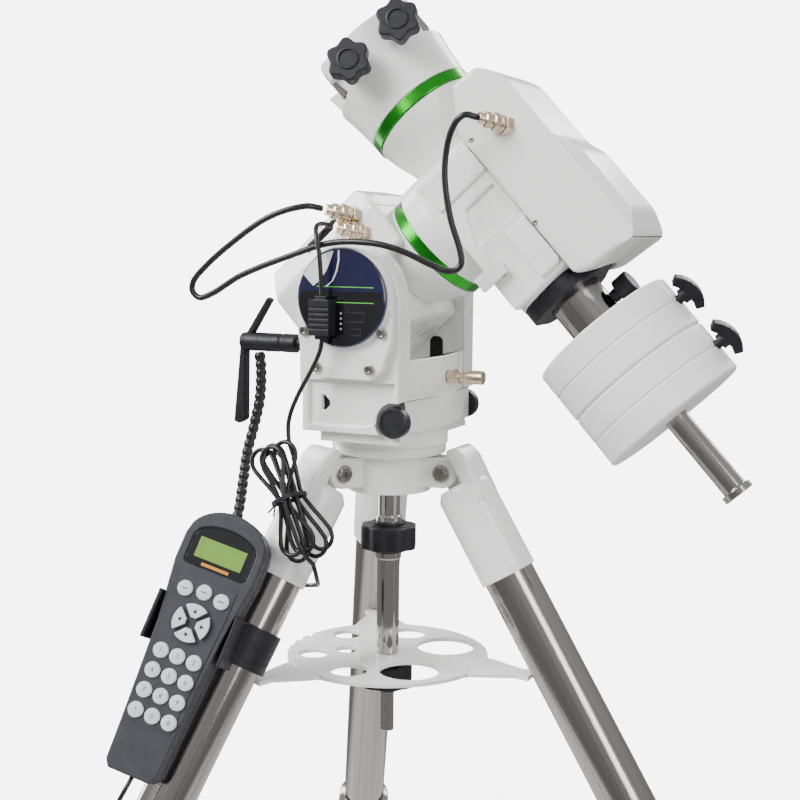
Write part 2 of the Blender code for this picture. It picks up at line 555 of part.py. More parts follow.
def build_dec_unit():
    split = 0.0235
    barrel = turned([(0, -0.0549), (0.0515, -0.0549), (0.0525, -0.050), (0.0525, -0.036), (0.045, -0.028),
                     (0, -0.028)],
                    DEC @ ALONG_X, 28)
    body = block((-0.034, split), (-0.044, 0.044), (-0.096, 0.038), DEC)
    room = WHEEL_R + 0.0015
    floor = DEC_WHEEL_Z[0] - 0.0012
    bore = turned([(0, -0.060), (0.0163, -0.060), (0.0163, floor), (room, floor), (room, 0.1), (0, 0.1)],
                  DEC)
    worm_room = block((0.030, 0.070), (-0.034, 0.034), (0.0545, 0.0715), DEC)
    polar_bore = rod(0.0213, -0.060, -0.0260, DEC @ ALONG_X, 24)
    lever_frame = DEC @ move(-0.022, 0, -0.062) @ ALONG_MINUS_Y
    lever_hole = rod(0.0063, 0.0340, 0.06, lever_frame, 16)
    piece("dec_housing", dec_neck(0), WHITE, [barrel, body],
          [bore, worm_room, joined([polar_bore, lever_hole])], POLAR)

    low = split + GAP
    outline = [(low, -0.106), (0.036, -0.112), (0.078, -0.116), (0.089, -0.096), (0.089, -0.034),
               (0.0815, -0.015),
               (0.0815, 0.050), (0.075, 0.064), (0.069, 0.0720), (0.046, 0.0750), (low, 0.0420)]
    shell = side_prism(outline, -0.050, 0.050, DEC)
    inner = [(-1, -0.1020), (0.074, -0.111), (0.084, -0.094), (0.084, -0.036), (0.0765, -0.017),
             (0.0765, 0.048),
             (0.066, 0.068), (0.046, 0.070), (-1, 0.0380)]
    # The room inside narrows in steps behind the rounded corners, so that the wall stays whole
    hollows = []
    for deep, half in ((0.064, 0.0455), (0.074, 0.0405), (0.084, 0.0330)):
        section = [(min(max(x, low - 0.005), deep), z) for x, z in inner]
        hollows.append(side_prism(section, -half, half, DEC))
    rounding = []
    for side in (-1, 1):
        wedge = [(0.066, side * 0.052), (0.105, side * 0.052), (0.105, side * 0.034), (0.089, side * 0.034),
                 (0.0815, side * 0.0445), (0.066, side * 0.0500)]
        rounding.append(prism(wedge, -0.13, 0.09, DEC))
    lock_room = rod(0.0425, 0.0973, 0.13, DEC @ DOWN, 24)
    worm_gap = block((0.030, 0.050), (-0.034, 0.034), (0.0545, 0.0715), DEC)
    plug = rod(PLUG_R, -0.004, PLUG_LENGTH, socket_frame(DEC, DEC_SOCKET), 12)
    piece("dec_cover", shell, WHITE, [plug],
          [joined(rounding), dec_neck(GAP), *hollows, joined([lock_room, worm_gap])])

    shaft = rod(0.021, -0.0100, DEC_AXIS_S - 0.0285, POLAR @ ALONG_X, 24)
    piece("ra_shaft", shaft, STEEL, pivot=POLAR, metallic=1.0)
    wheel = turned([(0.0213, -0.0085), (WHEEL_R, -0.0085), (WHEEL_R, 0.0055), (0.0213, 0.0055)],
                   POLAR @ ALONG_X, 24,
                   ring=True)
    piece("ra_worm_wheel", wheel, BRASS, pivot=POLAR, metallic=1.0)

    ring = turned([(0.0355, 0), (RING_R, 0), (RING_R, RING_THICK), (0.0355, RING_THICK)],
                  DEC @ move(0, 0, DEC_RING_Z), 30, ring=True)
    piece("dec_ring", ring, GREEN, metallic=0.8)

    worm_frame = DEC @ move(WHEEL_R + WORM_R + GAP, 0, 0.0628) @ ALONG_Y
    piece("dec_worm", rod(WORM_R, -0.032, 0.032, worm_frame, 12), BRASS, pivot=worm_frame, metallic=1.0)
    motor = turned([(0, -0.032), (0.0145, -0.032), (0.0145, 0.028), (0, 0.028)],
                   DEC @ move(0.058, 0, 0.030) @ ALONG_Y, 16)
    piece("dec_motor", motor, STEEL, metallic=1.0)

    hub = rod(0.006, 0.0343, 0.0500, lever_frame, 16)
    tab = block((-0.020, 0.006), (-0.006, 0.006), (0.0462, 0.0515), lever_frame)
    piece("ra_clutch_lever", hub, WHITE, [tab], pivot=lever_frame)


def build_counterweights():
    frame = DEC @ DOWN
    lock = prism(lobed(0.041, 0.0045, 5, 40), 0.0976, 0.1110, frame)
    bore = rod(CW_SLEEVE_R + GAP, 0.09, 0.12, frame, 24)
    piece("cw_lock_ring", lock, BLACK, cut=[bore], pivot=frame)

    shaft = turned([(0, 0.0974), (CW_SLEEVE_R, 0.0974), (CW_SLEEVE_R, 0.1455), (0.0215, 0.1460),
                    (CW_SHAFT_R, 0.1460),
                    (CW_SHAFT_R, CW_END - 0.006), (0.013, CW_END - 0.006), (0.013, CW_END), (0, CW_END)],
                    frame, 24)
    lock_hole = rod(0.0033, 0.0080, 0.030, frame @ move(0, 0, 0.133) @ ALONG_X, 12)
    piece("cw_shaft", shaft, STEEL, cut=[lock_hole], pivot=frame, metallic=1.0)

    lock_frame = frame @ move(0, 0, 0.133) @ ALONG_X
    knob = turned([(0, 0.0085), (0.003, 0.0085), (0.003, 0.0238), (0.0055, 0.0238), (0.0055, 0.030),
                   (0.0105, 0.031),
                   (0.0105, 0.044), (0.0095, 0.045), (0, 0.045)], lock_frame, 14)
    piece("shaft_lock_knob", knob, BLACK, pivot=lock_frame)

    for name, low in zip(("upper", "lower"), WEIGHT_TOP):
        high = low + WEIGHT_THICK
        middle = (low + high) / 2
        edge = 0.0015
        weight = turned([(CW_SHAFT_R + GAP, low), (WEIGHT_R - edge, low), (WEIGHT_R, low + edge),
                         (WEIGHT_R, middle - 0.001), (WEIGHT_R - 0.0012, middle),
                         (WEIGHT_R, middle + 0.001),
                         (WEIGHT_R, high - edge), (WEIGHT_R - edge, high), (CW_SHAFT_R + GAP, high)], frame,
                         24,
                        ring=True)
        knob_frame = frame @ move(0, 0, middle) @ ALONG_X
        stud_hole = rod(0.0043, 0.016, 0.08, knob_frame, 12)
        piece(f"weight_{name}", weight, WHITE, cut=[stud_hole], pivot=frame)
        knob = turned([(0, 0.017), (0.004, 0.017), (0.004, WEIGHT_R + 0.0035), (0.0065, WEIGHT_R + 0.0035),
                       (0.0065, WEIGHT_R + 0.009), (0, WEIGHT_R + 0.009)], knob_frame, 16)
        wing = block((-0.0175, 0.0175), (-0.0052, 0.0052), (WEIGHT_R + 0.008, WEIGHT_R + 0.0185),
                     knob_frame @ Matrix.Rotation(radians(25), 4, "Z"))
        piece(f"weight_knob_{name}", knob, BLACK, [wing], pivot=knob_frame)


def build_saddle():
    body = turned([(0, 0.0971), (RING_R, 0.0971), (0.0505, 0.112), (0.0530, 0.130), (0.0555, 0.146),
                   (0.0570, 0.156),
                   (0.0575, 0.166), (0, 0.166)], SADDLE, 28)
    groove = prism([(-0.036, 0.136), (0.026, 0.136), (0.0225, 0.172), (-0.036, 0.172)], -0.07, 0.07,
                   SADDLE @ FACING)
    shaft_hole = rod(0.0163, 0.09, 0.1303, SADDLE, 24)
    stud_holes = []
    pads = []
    for side in (-1, 1):
        frame = SADDLE @ move(side * SADDLE_KNOB_SPACING / 2, 0, SADDLE_KNOB_Z) @ ALONG_MINUS_Y
        stud_holes.append(rod(0.0043, 0.030, 0.080, frame, 16))
        pads.append(rod(0.0085, 0.040, 0.0520, frame, 16))
    horns = []
    for side in (-1, 1):
        plan = [(0.030, -0.0478), (0.0440, -0.0440), (0.0475, -0.0300), (0.0475, 0.0103),
                (0.030, 0.0103)]
        horns.append(prism([(side * x, y) for x, y in plan], 0.1493, 0.1672, SADDLE))
    piece("saddle", body, WHITE, [joined(pads), joined(horns)], [groove, shaft_hole, joined(stud_holes)],
          SADDLE)

    shaft = turned([(0, -0.045), (0.016, -0.045), (0.016, DEC_WHEEL_Z[0]), (WHEEL_R, DEC_WHEEL_Z[0]),
                    (WHEEL_R, DEC_WHEEL_Z[1]),
                    (0.016, DEC_WHEEL_Z[1]), (0.016, 0.1300), (0, 0.1300)], SADDLE, 24)
    piece("dec_shaft", shaft, STEEL, pivot=SADDLE, metallic=1.0)

    profile = [(-0.0335, 0.1363), (-0.0260, 0.1363), (-0.0225, 0.1640), (-0.0335, 0.1640)]
    jaw = prism(profile, -0.046, 0.046, SADDLE @ FACING)
    holes = []
    for side in (-1, 1):
        frame = SADDLE @ move(side * SADDLE_KNOB_SPACING / 2, 0, SADDLE_KNOB_Z) @ ALONG_MINUS_Y
        holes.append(rod(0.0043, 0.0285, 0.040, frame, 16))
    piece("saddle_jaw", jaw, STEEL, cut=[joined(holes)], pivot=SADDLE, metallic=1.0)
    for name, side in (("lower", -1), ("upper", 1)):
        frame = SADDLE @ move(side * SADDLE_KNOB_SPACING / 2, 0, SADDLE_KNOB_Z) @ ALONG_MINUS_Y
        stem = turned([(0, 0.0290), (0.004, 0.0290), (0.004, 0.0585), (0.0080, 0.0585), (0.0080, 0.0660),
                       (0, 0.0660)],
                      frame, 16)
        star = prism(lobed(STAR_KNOB_R, 0.0035, 6, 36), 0.0610, 0.0740, frame)
        piece(f"saddle_knob_{name}", stem, BLACK, [star], pivot=frame)


def handset_frame():
    """At the middle of the keypad's face: x out of the face, y to its right, z up to the screen."""
    leg = leg_frame("near")
    turn = Matrix.Rotation(pi / 4, 4, "Z")
    return leg @ move(0, 0, -HANDSET_MIDDLE) @ turn @ move(0.060, -0.0308,
                                                           0) @ Matrix.Rotation(HANDSET_TILT, 4, "X")


def build_handset():
    frame = handset_frame()
    face = frame @ FACING
    outline = [(-0.018, -0.100), (0.018, -0.100), (0.022, -0.094), (0.0235, -0.060), (0.0280, 0.020),
               (0.0345, 0.070),
               (0.0345, 0.092)]
    outline += [(x * 0.0345, 0.092 + y * 0.027) for x, y in arc(0, 0, 1, 20, 160, 8)]
    outline += [(-0.0345, 0.092), (-0.0345, 0.070), (-0.0280, 0.020), (-0.0235, -0.060), (-0.022, -0.094)]
    piece("handset_case", prism(outline, -0.030, 0, face), GREY)

    keys = []
    for column in (-1, 0, 1):
        keys.append(rod(0.0066, 0.0007, 0.0026, face @ move(column * 0.0160, 0.052 - 0.002 * abs(column),
                                                            0), 6))
        for row in range(4):
            keys.append(rod(0.0066, 0.0007, 0.0026, face @ move(column * 0.0145, -0.002 - row * 0.0165, 0),
                            6))
    mat_outline = [(-0.019, -0.060), (0.019, -0.060), (0.0255, 0.040), (0.0255, 0.061), (-0.0255, 0.061),
                   (-0.0255, 0.040)]
    mat = prism(mat_outline, GAP, 0.0012, face)
    pad_hole = rod(0.0170, -0.01, 0.01, face @ move(0, 0.026, 0), 20)
    piece("keypad", mat, KEYS, [joined(keys)], [pad_hole])

    for index, name in enumerate(("right", "up", "left", "down")):
        centre = 45 + 90 * index - 45
        outline = arc(0, 0, 0.0155, centre - 38, centre + 38, 6)
        outline += arc(0, 0, 0.0045, centre + 25, centre - 25, 2)
        key_frame = face @ move(0, 0.026, 0)
        piece(f"arrow_key_{name}", prism(outline, 0.0018, 0.0040, key_frame), KEYS, pivot=key_frame)

    leg = leg_frame("near")
    band = turned([(LEG_TUBE_R + GAP, -0.204), (0.0262, -0.204), (0.0262, -0.169),
                   (LEG_TUBE_R + GAP, -0.169)], leg,
                  24, ring=True)
    back = block((-0.0355, -0.0303), (-0.034, 0.034), (0.0020, 0.0430), frame)
    sides = []
    for side in (-1, 1):
        y = sorted((side * 0.0320, side * 0.0350))
        sides.append(block((-0.0355, 0.0035), y, (0.0020, 0.0430), frame))
    piece("handset_holder", band, BLACK, [back, joined(sides)])


DEC_CABLE = (
    (-0.0262, -0.0772, 0.2014), (-0.0360, -0.0880, 0.2030), (-0.0620, -0.0960, 0.1955),
    (-0.0905, -0.0980, 0.1790),
    (-0.1290, -0.0980, 0.1500), (-0.1405, -0.0970, 0.1340), (-0.1310, -0.0965, 0.1260),
    (-0.0915, -0.0965, 0.1460),
    (-0.0440, -0.0970, 0.1630), (-0.0080, -0.0972, 0.1735), (0.0280, -0.0970, 0.1740),
    (0.0530, -0.0930, 0.1682),
    (0.0750, -0.0840, 0.1573), (0.0870, -0.0770, 0.1523), (0.0955, -0.0740, 0.1560),
    (0.0960, -0.0735, 0.1660),
    (0.0870, -0.0735, 0.1930), (0.0815, -0.0735, 0.2230), (0.0825, -0.0740, 0.2460),
    (0.0885, -0.0760, 0.2640),
    (0.0980, -0.0765, 0.2735), (0.1066, -0.0706, 0.2722),
)
LEAD_UPPER = (
    (-0.0166, -0.0774, 0.1868), (-0.0212, -0.0850, 0.1890), (-0.0218, -0.0950, 0.1865),
    (-0.0180, -0.1020, 0.1780),
    (-0.0145, -0.1038, 0.1650), (-0.0135, -0.1030, 0.1480), (-0.0130, -0.1015, 0.1315),
)
LEAD_LOWER = (
    (-0.0130, -0.1015, 0.0955), (-0.0150, -0.1015, 0.0860), (-0.0220, -0.1010, 0.0720),
    (-0.0365, -0.1000, 0.0480),
    (-0.0445, -0.1000, 0.0280), (-0.0440, -0.1010, 0.0110), (-0.0388, -0.1030, -0.0010),
)
HANK_TOP = (-0.0630, -0.1050, 0.0120)
HANK_BOTTOM = (-0.0120, -0.1190, -0.0840)
HANK_HALF_WIDTH = 0.0120
HANK_HALF_THICK = 0.0060
TAIL = (
    (-0.0106, -0.1194, -0.0868), (-0.0095, -0.1160, -0.0985), (-0.0165, -0.1010, -0.1080),
    (-0.0360, -0.0750, -0.1170), (-0.0600, -0.0710, -0.1230), (-0.0783, -0.0830, -0.1420),
    (-0.0911, -0.1055, -0.1810), (-0.1040, -0.1280, -0.2230), (-0.1169, -0.1500, -0.2650),
    (-0.1235, -0.1600, -0.2835), (-0.1340, -0.1680, -0.2900), (-0.1425, -0.1810, -0.2900),
    (-0.1480, -0.2025, -0.2850), (-0.1385, -0.2225, -0.2800), (-0.1255, -0.2345, -0.2700),
    (-0.1175, -0.2350, -0.2570), (-0.1140, -0.2274, -0.2454),
)
LANYARD = (
    (-0.132, 0.0, 0.0723), (-0.131, 0.001, 0.055), (-0.133, 0.002, 0.030), (-0.138, 0.0, 0.005),
    (-0.142, -0.006, -0.020), (-0.141, -0.015, -0.045), (-0.139, -0.026, -0.070), (-0.140, -0.036, -0.090),
)


def build_cables():
    cable("dec_cable", DEC_CABLE, CABLE_R, 50)
    cable("lead_upper", LEAD_UPPER, LEAD_R, 20)
    cable("lead_lower", LEAD_LOWER, LEAD_R, 24)
    cable("lanyard", LANYARD, LANYARD_R, 14)
    top, bottom = MOUNT @ Vector(HANK_TOP), MOUNT @ Vector(HANK_BOTTOM)
    along = (top - bottom).normalized()
    facing = Vector((0, -1, 0)) + along * along.y
    facing.normalize()
    across = facing.cross(along)
    middle = (top + bottom) / 2
    frame = Matrix((across, along, across.cross(along))).transposed().to_4x4()
    frame.translation = middle
    reach = (top - bottom).length / 2 - HANK_HALF_WIDTH
    outline = arc(0, reach, HANK_HALF_WIDTH, 0, 180, 8) + arc(0, -reach, HANK_HALF_WIDTH, 180, 360, 8)
    piece("hank", prism(outline, -HANK_HALF_THICK, HANK_HALF_THICK, frame), BLACK)
    cable("handset_tail", TAIL, LEAD_R, 32)
    plug = block((-0.022, -0.004), (-0.108, -0.0945), (0.0960, 0.1310), MOUNT)
    piece("connector_block", plug, BLACK)


def main():
    for old in list(bpy.data.objects):
        bpy.data.objects.remove(old, do_unlink=True)
    build_tripod_head()
    build_rod_and_tray()
    for name in LEG_AZIMUTHS:
        build_leg(name)
    build_azimuth_base()
    build_fork_cover()
    build_azimuth_knobs()
    build_altitude_controls()
    build_polar_housing()
    build_dec_unit()
    build_counterweights()
    build_saddle()
    build_handset()
    build_cables()


main()
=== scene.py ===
"""Looks of the motorised equatorial mount: fine pieces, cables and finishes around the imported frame.

Sizes are in millimetres, and frames, camera and studio in metres, with +Z up in the row's own frame. The
driving dimensions repeat the CAD model's.
MOUNT stands at the top face of the tripod head, POLAR at the altitude axis with x along the polar axis, and
DEC at the crossing of the polar and declination axes, with z along the declination axis to the saddle.
"""

import json
from math import acos, atan2, cos, hypot, pi, radians, sin, tan

import bmesh
import bpy
from mathutils import Matrix, Vector
from mathutils.geometry import interpolate_bezier


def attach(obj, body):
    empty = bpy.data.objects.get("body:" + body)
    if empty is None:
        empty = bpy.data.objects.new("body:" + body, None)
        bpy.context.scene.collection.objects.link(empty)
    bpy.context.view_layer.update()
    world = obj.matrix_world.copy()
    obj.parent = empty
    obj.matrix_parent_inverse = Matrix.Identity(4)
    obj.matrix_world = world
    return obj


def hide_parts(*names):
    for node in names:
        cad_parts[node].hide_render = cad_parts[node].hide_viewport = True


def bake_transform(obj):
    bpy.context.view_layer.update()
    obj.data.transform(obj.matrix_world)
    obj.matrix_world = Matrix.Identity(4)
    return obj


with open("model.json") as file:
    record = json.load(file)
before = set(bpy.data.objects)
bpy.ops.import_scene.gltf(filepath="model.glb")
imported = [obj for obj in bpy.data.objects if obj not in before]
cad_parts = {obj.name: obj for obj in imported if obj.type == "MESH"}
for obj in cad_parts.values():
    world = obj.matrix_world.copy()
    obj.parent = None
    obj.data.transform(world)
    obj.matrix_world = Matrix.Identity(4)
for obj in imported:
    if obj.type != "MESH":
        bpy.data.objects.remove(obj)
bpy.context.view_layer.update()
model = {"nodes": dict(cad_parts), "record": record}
BODY_OF = {node: body for body, nodes in model["record"]["behaviour"]["bodies"].items() for node in nodes}

# Driving dimensions
MM = 0.001
GAP = 0.3
STUD_HOLE_R = 4.3
HEAD_HEIGHT = 720
LATITUDE = radians(42.5)
ALTITUDE_AXIS_Z = 129.5
DEC_AXIS_S = 124.7
SADDLE_TURN = radians(20.7)

LEG_TILT = radians(31.0)
LEG_START_RADIUS = 49.7
LEG_AZIMUTHS = {"north": 0, "near": radians(240), "far": radians(120)}
LEG_TUBE_R = 22.22
LEG_TUBE_WALL = 1.8
LEG_TUBE_TOP = -70
LEG_TUBE_END = -575
LOWER_LEG_R = 19.5
LOWER_LEG_TOP = -120
FOOT_R = 24
FOOT_HEIGHT = 30
COLLAR_R = 28.5
COLLAR_LENGTH = 40
SOCKET_R = 24.7
SOCKET_TOP = -45
SOCKET_END = -125
HINGE_X = -7.2
HINGE_Z = -22.3
EAR_R = 13
TONGUE_HALF = 4.7

HEAD_R = 50
HUB_R = 37
HUB_HEIGHT = 42
PEG_X = 40
PEG_R = 5
PEG_TOP = 36

ROD_R = 10
ROD_THREAD_R = 6
ROD_HOLE_R = ROD_THREAD_R + 0.4
ROD_END = -263
ROD_KNOB_R = 25.5
TRAY_Z = -195
TRAY_THICK = 4
TRAY_TOP = TRAY_Z + TRAY_THICK
TRAY_R = 89.7
TRAY_ARM_END = 137.8
TRAY_HOLES = (
    (radians(45), 56, 26), (radians(-45), 56, 26), (radians(97), 62, 16.5), (radians(-97), 62, 16.5),
    (radians(150), 66, 13), (radians(-150), 66, 13), (radians(-165), 37, 10),
)
TRAY_SLOT_ANGLES = (radians(170), radians(180), radians(190))

FLANGE_R = 51.5
FLANGE_HEIGHT = 22
FORK_FLOOR = 45
ARM_IN = 57
ARM_OUT = 80
ARM_TOP_R = 44
COVER_THICK = 7.5
TRUNNION_R = 18
AZIMUTH_KNOB_Z = 28
AZIMUTH_KNOB_X = 40
AZIMUTH_KNOB_R = 13
STOP_SCREW_Z = 60.4
LEVER_Z = 82
LABEL_R = 40

HOUSING_HALF = 55
HOUSING_REAR = -66
HOUSING_TOP = 80
RING_R = 49.5
RING_THICK = 10
RA_RING_S = 59.2
DEC_RING_Z = 86.8
WHEEL_R = 33
DEC_WHEEL_Z = (55, 71)
WHEEL_ROOM_R = WHEEL_R + 1.5
RA_SHAFT_HOLE_R = 21.3
DEC_SHAFT_HOLE_R = 16.3
DEC_SPLIT = 23.5

# Cable plugs: where each one stands on its casting, and the way that all three point
PLUG_AIM = (-0.311, -0.778, 0.545)
POLAR_SOCKETS = ((38, -54.5, 55), (35.3, -54.5, 38))
DEC_SOCKET = (58.5, -49.5, 18.9)

WEIGHT_R = 63
WEIGHT_TOP = (146.3, 192.9)
WEIGHT_THICK = 46.3
CW_SLEEVE_R = 23
CW_SHAFT_R = 10
CW_END = 318

SADDLE_KNOB_SPACING = 50.8
SADDLE_KNOB_Z = 143
STAR_KNOB_R = 18.5

HANDSET_TILT = radians(4.0)
HANDSET_MIDDLE = 215
CABLE_R = 2.6
LEAD_R = 1.9
LANYARD_R = 5.2
PRINT_BACK = -0.3
SIGN_RAISE = 0.12

# Segments of the round shapes, against the CAD model's
HEXAGON = 6
FINER = 3
ARC_FINER = 3

SIDE_SEGMENTS = 3
EDGE = 0.7
WELD = 0.004
SHARP = radians(38)
EDGE_FROM = radians(34)
EASED_FROM = radians(18)

# Camera and studio, in metres
CAMERA_PLACE = (0.40117, -1.0927, 0.9047)
CAMERA_FORWARD = (-0.4195, 0.8996, -0.1217)
CAMERA_UP = (-0.0598, 0.1064, 0.9925)
CAMERA_LENS = 62.54
CAMERA_SENSOR = 36.0
COAT_ROUGHNESS = 0.12
DARK_COLOUR = 0.06
DARK_SPECULAR = 0.32
BACKDROP = (0.95, 0.95, 0.955)
BACKDROP_GLOW = 7.0
SKY = 0.95
FLOOR_R = 2.0


def link(tree, source, target):
    tree.links.new(source, target)


def node(tree, kind, values=None):
    """A new shader node with plain values on its inputs."""
    made = tree.nodes.new(f"ShaderNode{kind}")
    for key, value in (values or {}).items():
        made.inputs[key].default_value = value
    return made


def object_place(tree):
    return node(tree, "TexCoord").outputs["Object"]


def noise(tree, place, scale, detail=3.0, rough=0.55):
    made = node(tree, "TexNoise", {"Scale": scale, "Detail": detail, "Roughness": rough})
    link(tree, place, made.inputs["Vector"])
    return made.outputs["Fac"]


def spread(tree, value, low, high, start=0.3, end=0.7):
    """A value between start and end, mapped to the range from low to high."""
    made = node(tree, "MapRange", {"From Min": start, "From Max": end, "To Min": low, "To Max": high})
    made.interpolation_type = "SMOOTHSTEP"
    link(tree, value, made.inputs["Value"])
    return made.outputs["Result"]


def blended(tree, share, first, second):
    """A colour between two colours, each a tuple or another node's output."""
    made = node(tree, "Mix")
    made.data_type = "RGBA"
    link(tree, share, made.inputs["Factor"])
    for key, colour in (("A", first), ("B", second)):
        socket = next(s for s in made.inputs if s.name == key and s.type == "RGBA")
        if isinstance(colour, tuple):
            socket.default_value = (*colour, 1)
        else:
            link(tree, colour, socket)
    return next(s for s in made.outputs if s.type == "RGBA")


def raised(tree, height, shader, strength, distance):
    made = node(tree, "Bump", {"Strength": strength, "Distance": distance})
    link(tree, height, made.inputs["Height"])
    link(tree, made.outputs["Normal"], shader.inputs["Normal"])


def finish(name, slot, colour, roughness, metallic=0.0, coat=0.0, tint=0.07, patch=30.0, grain=1300.0,
           depth=0.00002, stretch=(1, 1, 1), stain=None, stain_share=0.0):
    """A finish with patchy colour and gloss, a fine grain in relief, and a stain that gathers in patches."""
    made = bpy.data.materials.new(name)
    made.use_nodes = True
    made["slot"] = slot
    tree = made.node_tree
    shader = tree.nodes["Principled BSDF"]
    coordinates = object_place(tree)
    mapping = node(tree, "Mapping", {"Scale": stretch})
    link(tree, coordinates, mapping.inputs["Vector"])
    place = mapping.outputs["Vector"]
    dark = tuple(c * (1 - tint) for c in colour)
    light = tuple(min(1.0, c * (1 + tint)) for c in colour)
    tone = blended(tree, spread(tree, noise(tree, place, patch), 0, 1), dark, light)
    if stain is not None:
        share = spread(tree, noise(tree, coordinates, patch * 2.3, 6.0, 0.7), 0, stain_share, 0.55, 0.75)
        tone = blended(tree, share, tone, stain)
    link(tree, tone, shader.inputs["Base Color"])
    gloss = spread(tree, noise(tree, place, patch * 3.1, 4.0), roughness * 0.82, roughness * 1.22)
    link(tree, gloss, shader.inputs["Roughness"])
    shader.inputs["Metallic"].default_value = metallic
    shader.inputs["Coat Weight"].default_value = coat
    shader.inputs["Coat Roughness"].default_value = COAT_ROUGHNESS
    if max(colour) < DARK_COLOUR:
        shader.inputs["Specular IOR Level"].default_value = DARK_SPECULAR
    raised(tree, noise(tree, place, grain, 2.0), shader, 0.6, depth)
    made.diffuse_color = (*colour, 1)
    return made


def banded(name, slot, colour, roughness, metallic, bands, depth, second=None):
    """A finish with fine even bands along the object's z: lathe marks, knurling or a cable's wrap."""
    made = finish(name, slot, colour, roughness, metallic, tint=0.05)
    tree = made.node_tree
    shader = tree.nodes["Principled BSDF"]
    coordinates = object_place(tree)
    wave = node(tree, "TexWave", {"Scale": bands, "Distortion": 0.3})
    wave.bands_direction = "Z"
    link(tree, coordinates, wave.inputs["Vector"])
    raised(tree, wave.outputs["Fac"], shader, 0.7, depth)
    if second is not None:
        tone = blended(tree, spread(tree, wave.outputs["Fac"], 0, 1, 0.4, 0.6), colour, second)
        link(tree, tone, shader.inputs["Base Color"])
    return made


WHITE = finish("white_paint", "white_casting", (0.86, 0.86, 0.845), 0.3, coat=0.35, tint=0.02, patch=22,
               grain=650, depth=0.00005, stain=(0.66, 0.64, 0.6), stain_share=0.08)
WEIGHT_WHITE = finish("weight_paint", "white_weight", (0.85, 0.85, 0.845), 0.52, coat=0.05, tint=0.02,
                      patch=26, grain=1500, depth=0.0001, stain=(0.6, 0.59, 0.56), stain_share=0.12)
GREEN = banded("green_anodised", "green_anodised", (0.02, 0.27, 0.015), 0.22, 0.95, 900, 0.00002,
               (0.03, 0.34, 0.03))
STEEL = finish("polished_stainless", "polished_steel", (0.33, 0.315, 0.3), 0.12, 1.0, tint=0.1, patch=60,
               grain=900, depth=0.00003, stretch=(6, 6, 0.06))
CHROME = finish("chrome", "chrome", (0.45, 0.44, 0.43), 0.09, 1.0, tint=0.03, stretch=(4, 4, 0.2))
ALLOY = banded("turned_alloy", "silver_alloy", (0.72, 0.71, 0.7), 0.26, 1.0, 1500, 0.00002)
BLACK = finish("black_moulding", "black_plastic", (0.011, 0.011, 0.014), 0.46, tint=0.25, patch=90,
               grain=1700, depth=0.00008)
BLACK_METAL = finish("black_enamel", "black_metal", (0.012, 0.012, 0.014), 0.24, coat=0.4, tint=0.25,
                     patch=70, grain=900, depth=0.00004)
BRASS = finish("nickelled_brass", "brass", (0.7, 0.58, 0.42), 0.24, 1.0, tint=0.1, patch=160, grain=2200,
               depth=0.00003)
GUNMETAL = finish("gunmetal", "gunmetal", (0.34, 0.32, 0.28), 0.3, 1.0, tint=0.15, patch=150, grain=2000,
                  depth=0.00003)
SLATE = finish("slate_moulding", "black_plastic", (0.014, 0.014, 0.018), 0.44, tint=0.2, patch=90,
               grain=1700, depth=0.00008)
GREY = finish("grey_moulding", "grey_plastic", (0.036, 0.036, 0.044), 0.5, tint=0.12, patch=60, grain=1600,
              depth=0.0001)
KEYS = finish("key_rubber", "key_rubber", (0.6, 0.62, 0.66), 0.58, tint=0.04, patch=200, grain=2500,
              depth=0.00003)
CABLE = finish("cable_sheath", "cable_black", (0.012, 0.012, 0.013), 0.34, coat=0.15, tint=0.2, patch=120,
               grain=1800, depth=0.00004)
RUBBER = finish("foot_rubber", "black_plastic", (0.02, 0.02, 0.021), 0.75, tint=0.3, patch=50, grain=1500,
                depth=0.00012, stain=(0.1, 0.09, 0.08), stain_share=0.3)
NAVY = finish("label_navy", "black_plastic", (0.01, 0.011, 0.042), 0.2, coat=0.3, tint=0.15, patch=20,
              depth=0.00001)
PANEL = finish("label_black", "black_plastic", (0.006, 0.006, 0.008), 0.16, coat=0.5, tint=0.3, patch=40,
               depth=0.00001)
SCREEN = finish("screen_green", "grey_plastic", (0.15, 0.3, 0.04), 0.18, coat=0.6, tint=0.08, patch=40,
                depth=0.00001)
LIME = finish("label_lime", "green_anodised", (0.1, 0.45, 0.06), 0.35, tint=0.05)
AMBER = finish("label_amber", "grey_plastic", (0.55, 0.22, 0.02), 0.4, tint=0.05)
INK = finish("key_ink", "black_plastic", (0.02, 0.02, 0.025), 0.5, tint=0.1)
PALE = finish("label_pale", "white_casting", (0.72, 0.72, 0.75), 0.3, coat=0.3, tint=0.03)
# Painted shade: a near-black finish that stands in for the shade inside the base's window recesses and slot;
# it also colours the real dark seam round the handset.
PAINTED_SHADE_AND_SEAM = finish("painted_shade_and_seam", "black_plastic", (0.01, 0.01, 0.011), 0.7, tint=0.2)


def move(x, y, z):
    return Matrix.Translation((x * MM, y * MM, z * MM))


def at(frame, point):
    """Where a point in a frame's millimetres is, in metres."""
    x, y, z = point
    return frame @ Vector((x * MM, y * MM, z * MM))


def spin(angle):
    """A turn about the frame's z axis."""
    return Matrix.Rotation(angle, 4, "Z")


FOOT_RADIUS = LEG_START_RADIUS + (HEAD_HEIGHT - FOOT_HEIGHT / 2) * tan(LEG_TILT)
MOUNT = move(-FOOT_RADIUS / 4, 0, HEAD_HEIGHT)
POLAR = MOUNT @ move(0, 0, ALTITUDE_AXIS_Z) @ Matrix.Rotation(-LATITUDE, 4, "Y")
DEC = POLAR @ move(DEC_AXIS_S, 0, 0)
SADDLE = DEC @ spin(SADDLE_TURN)

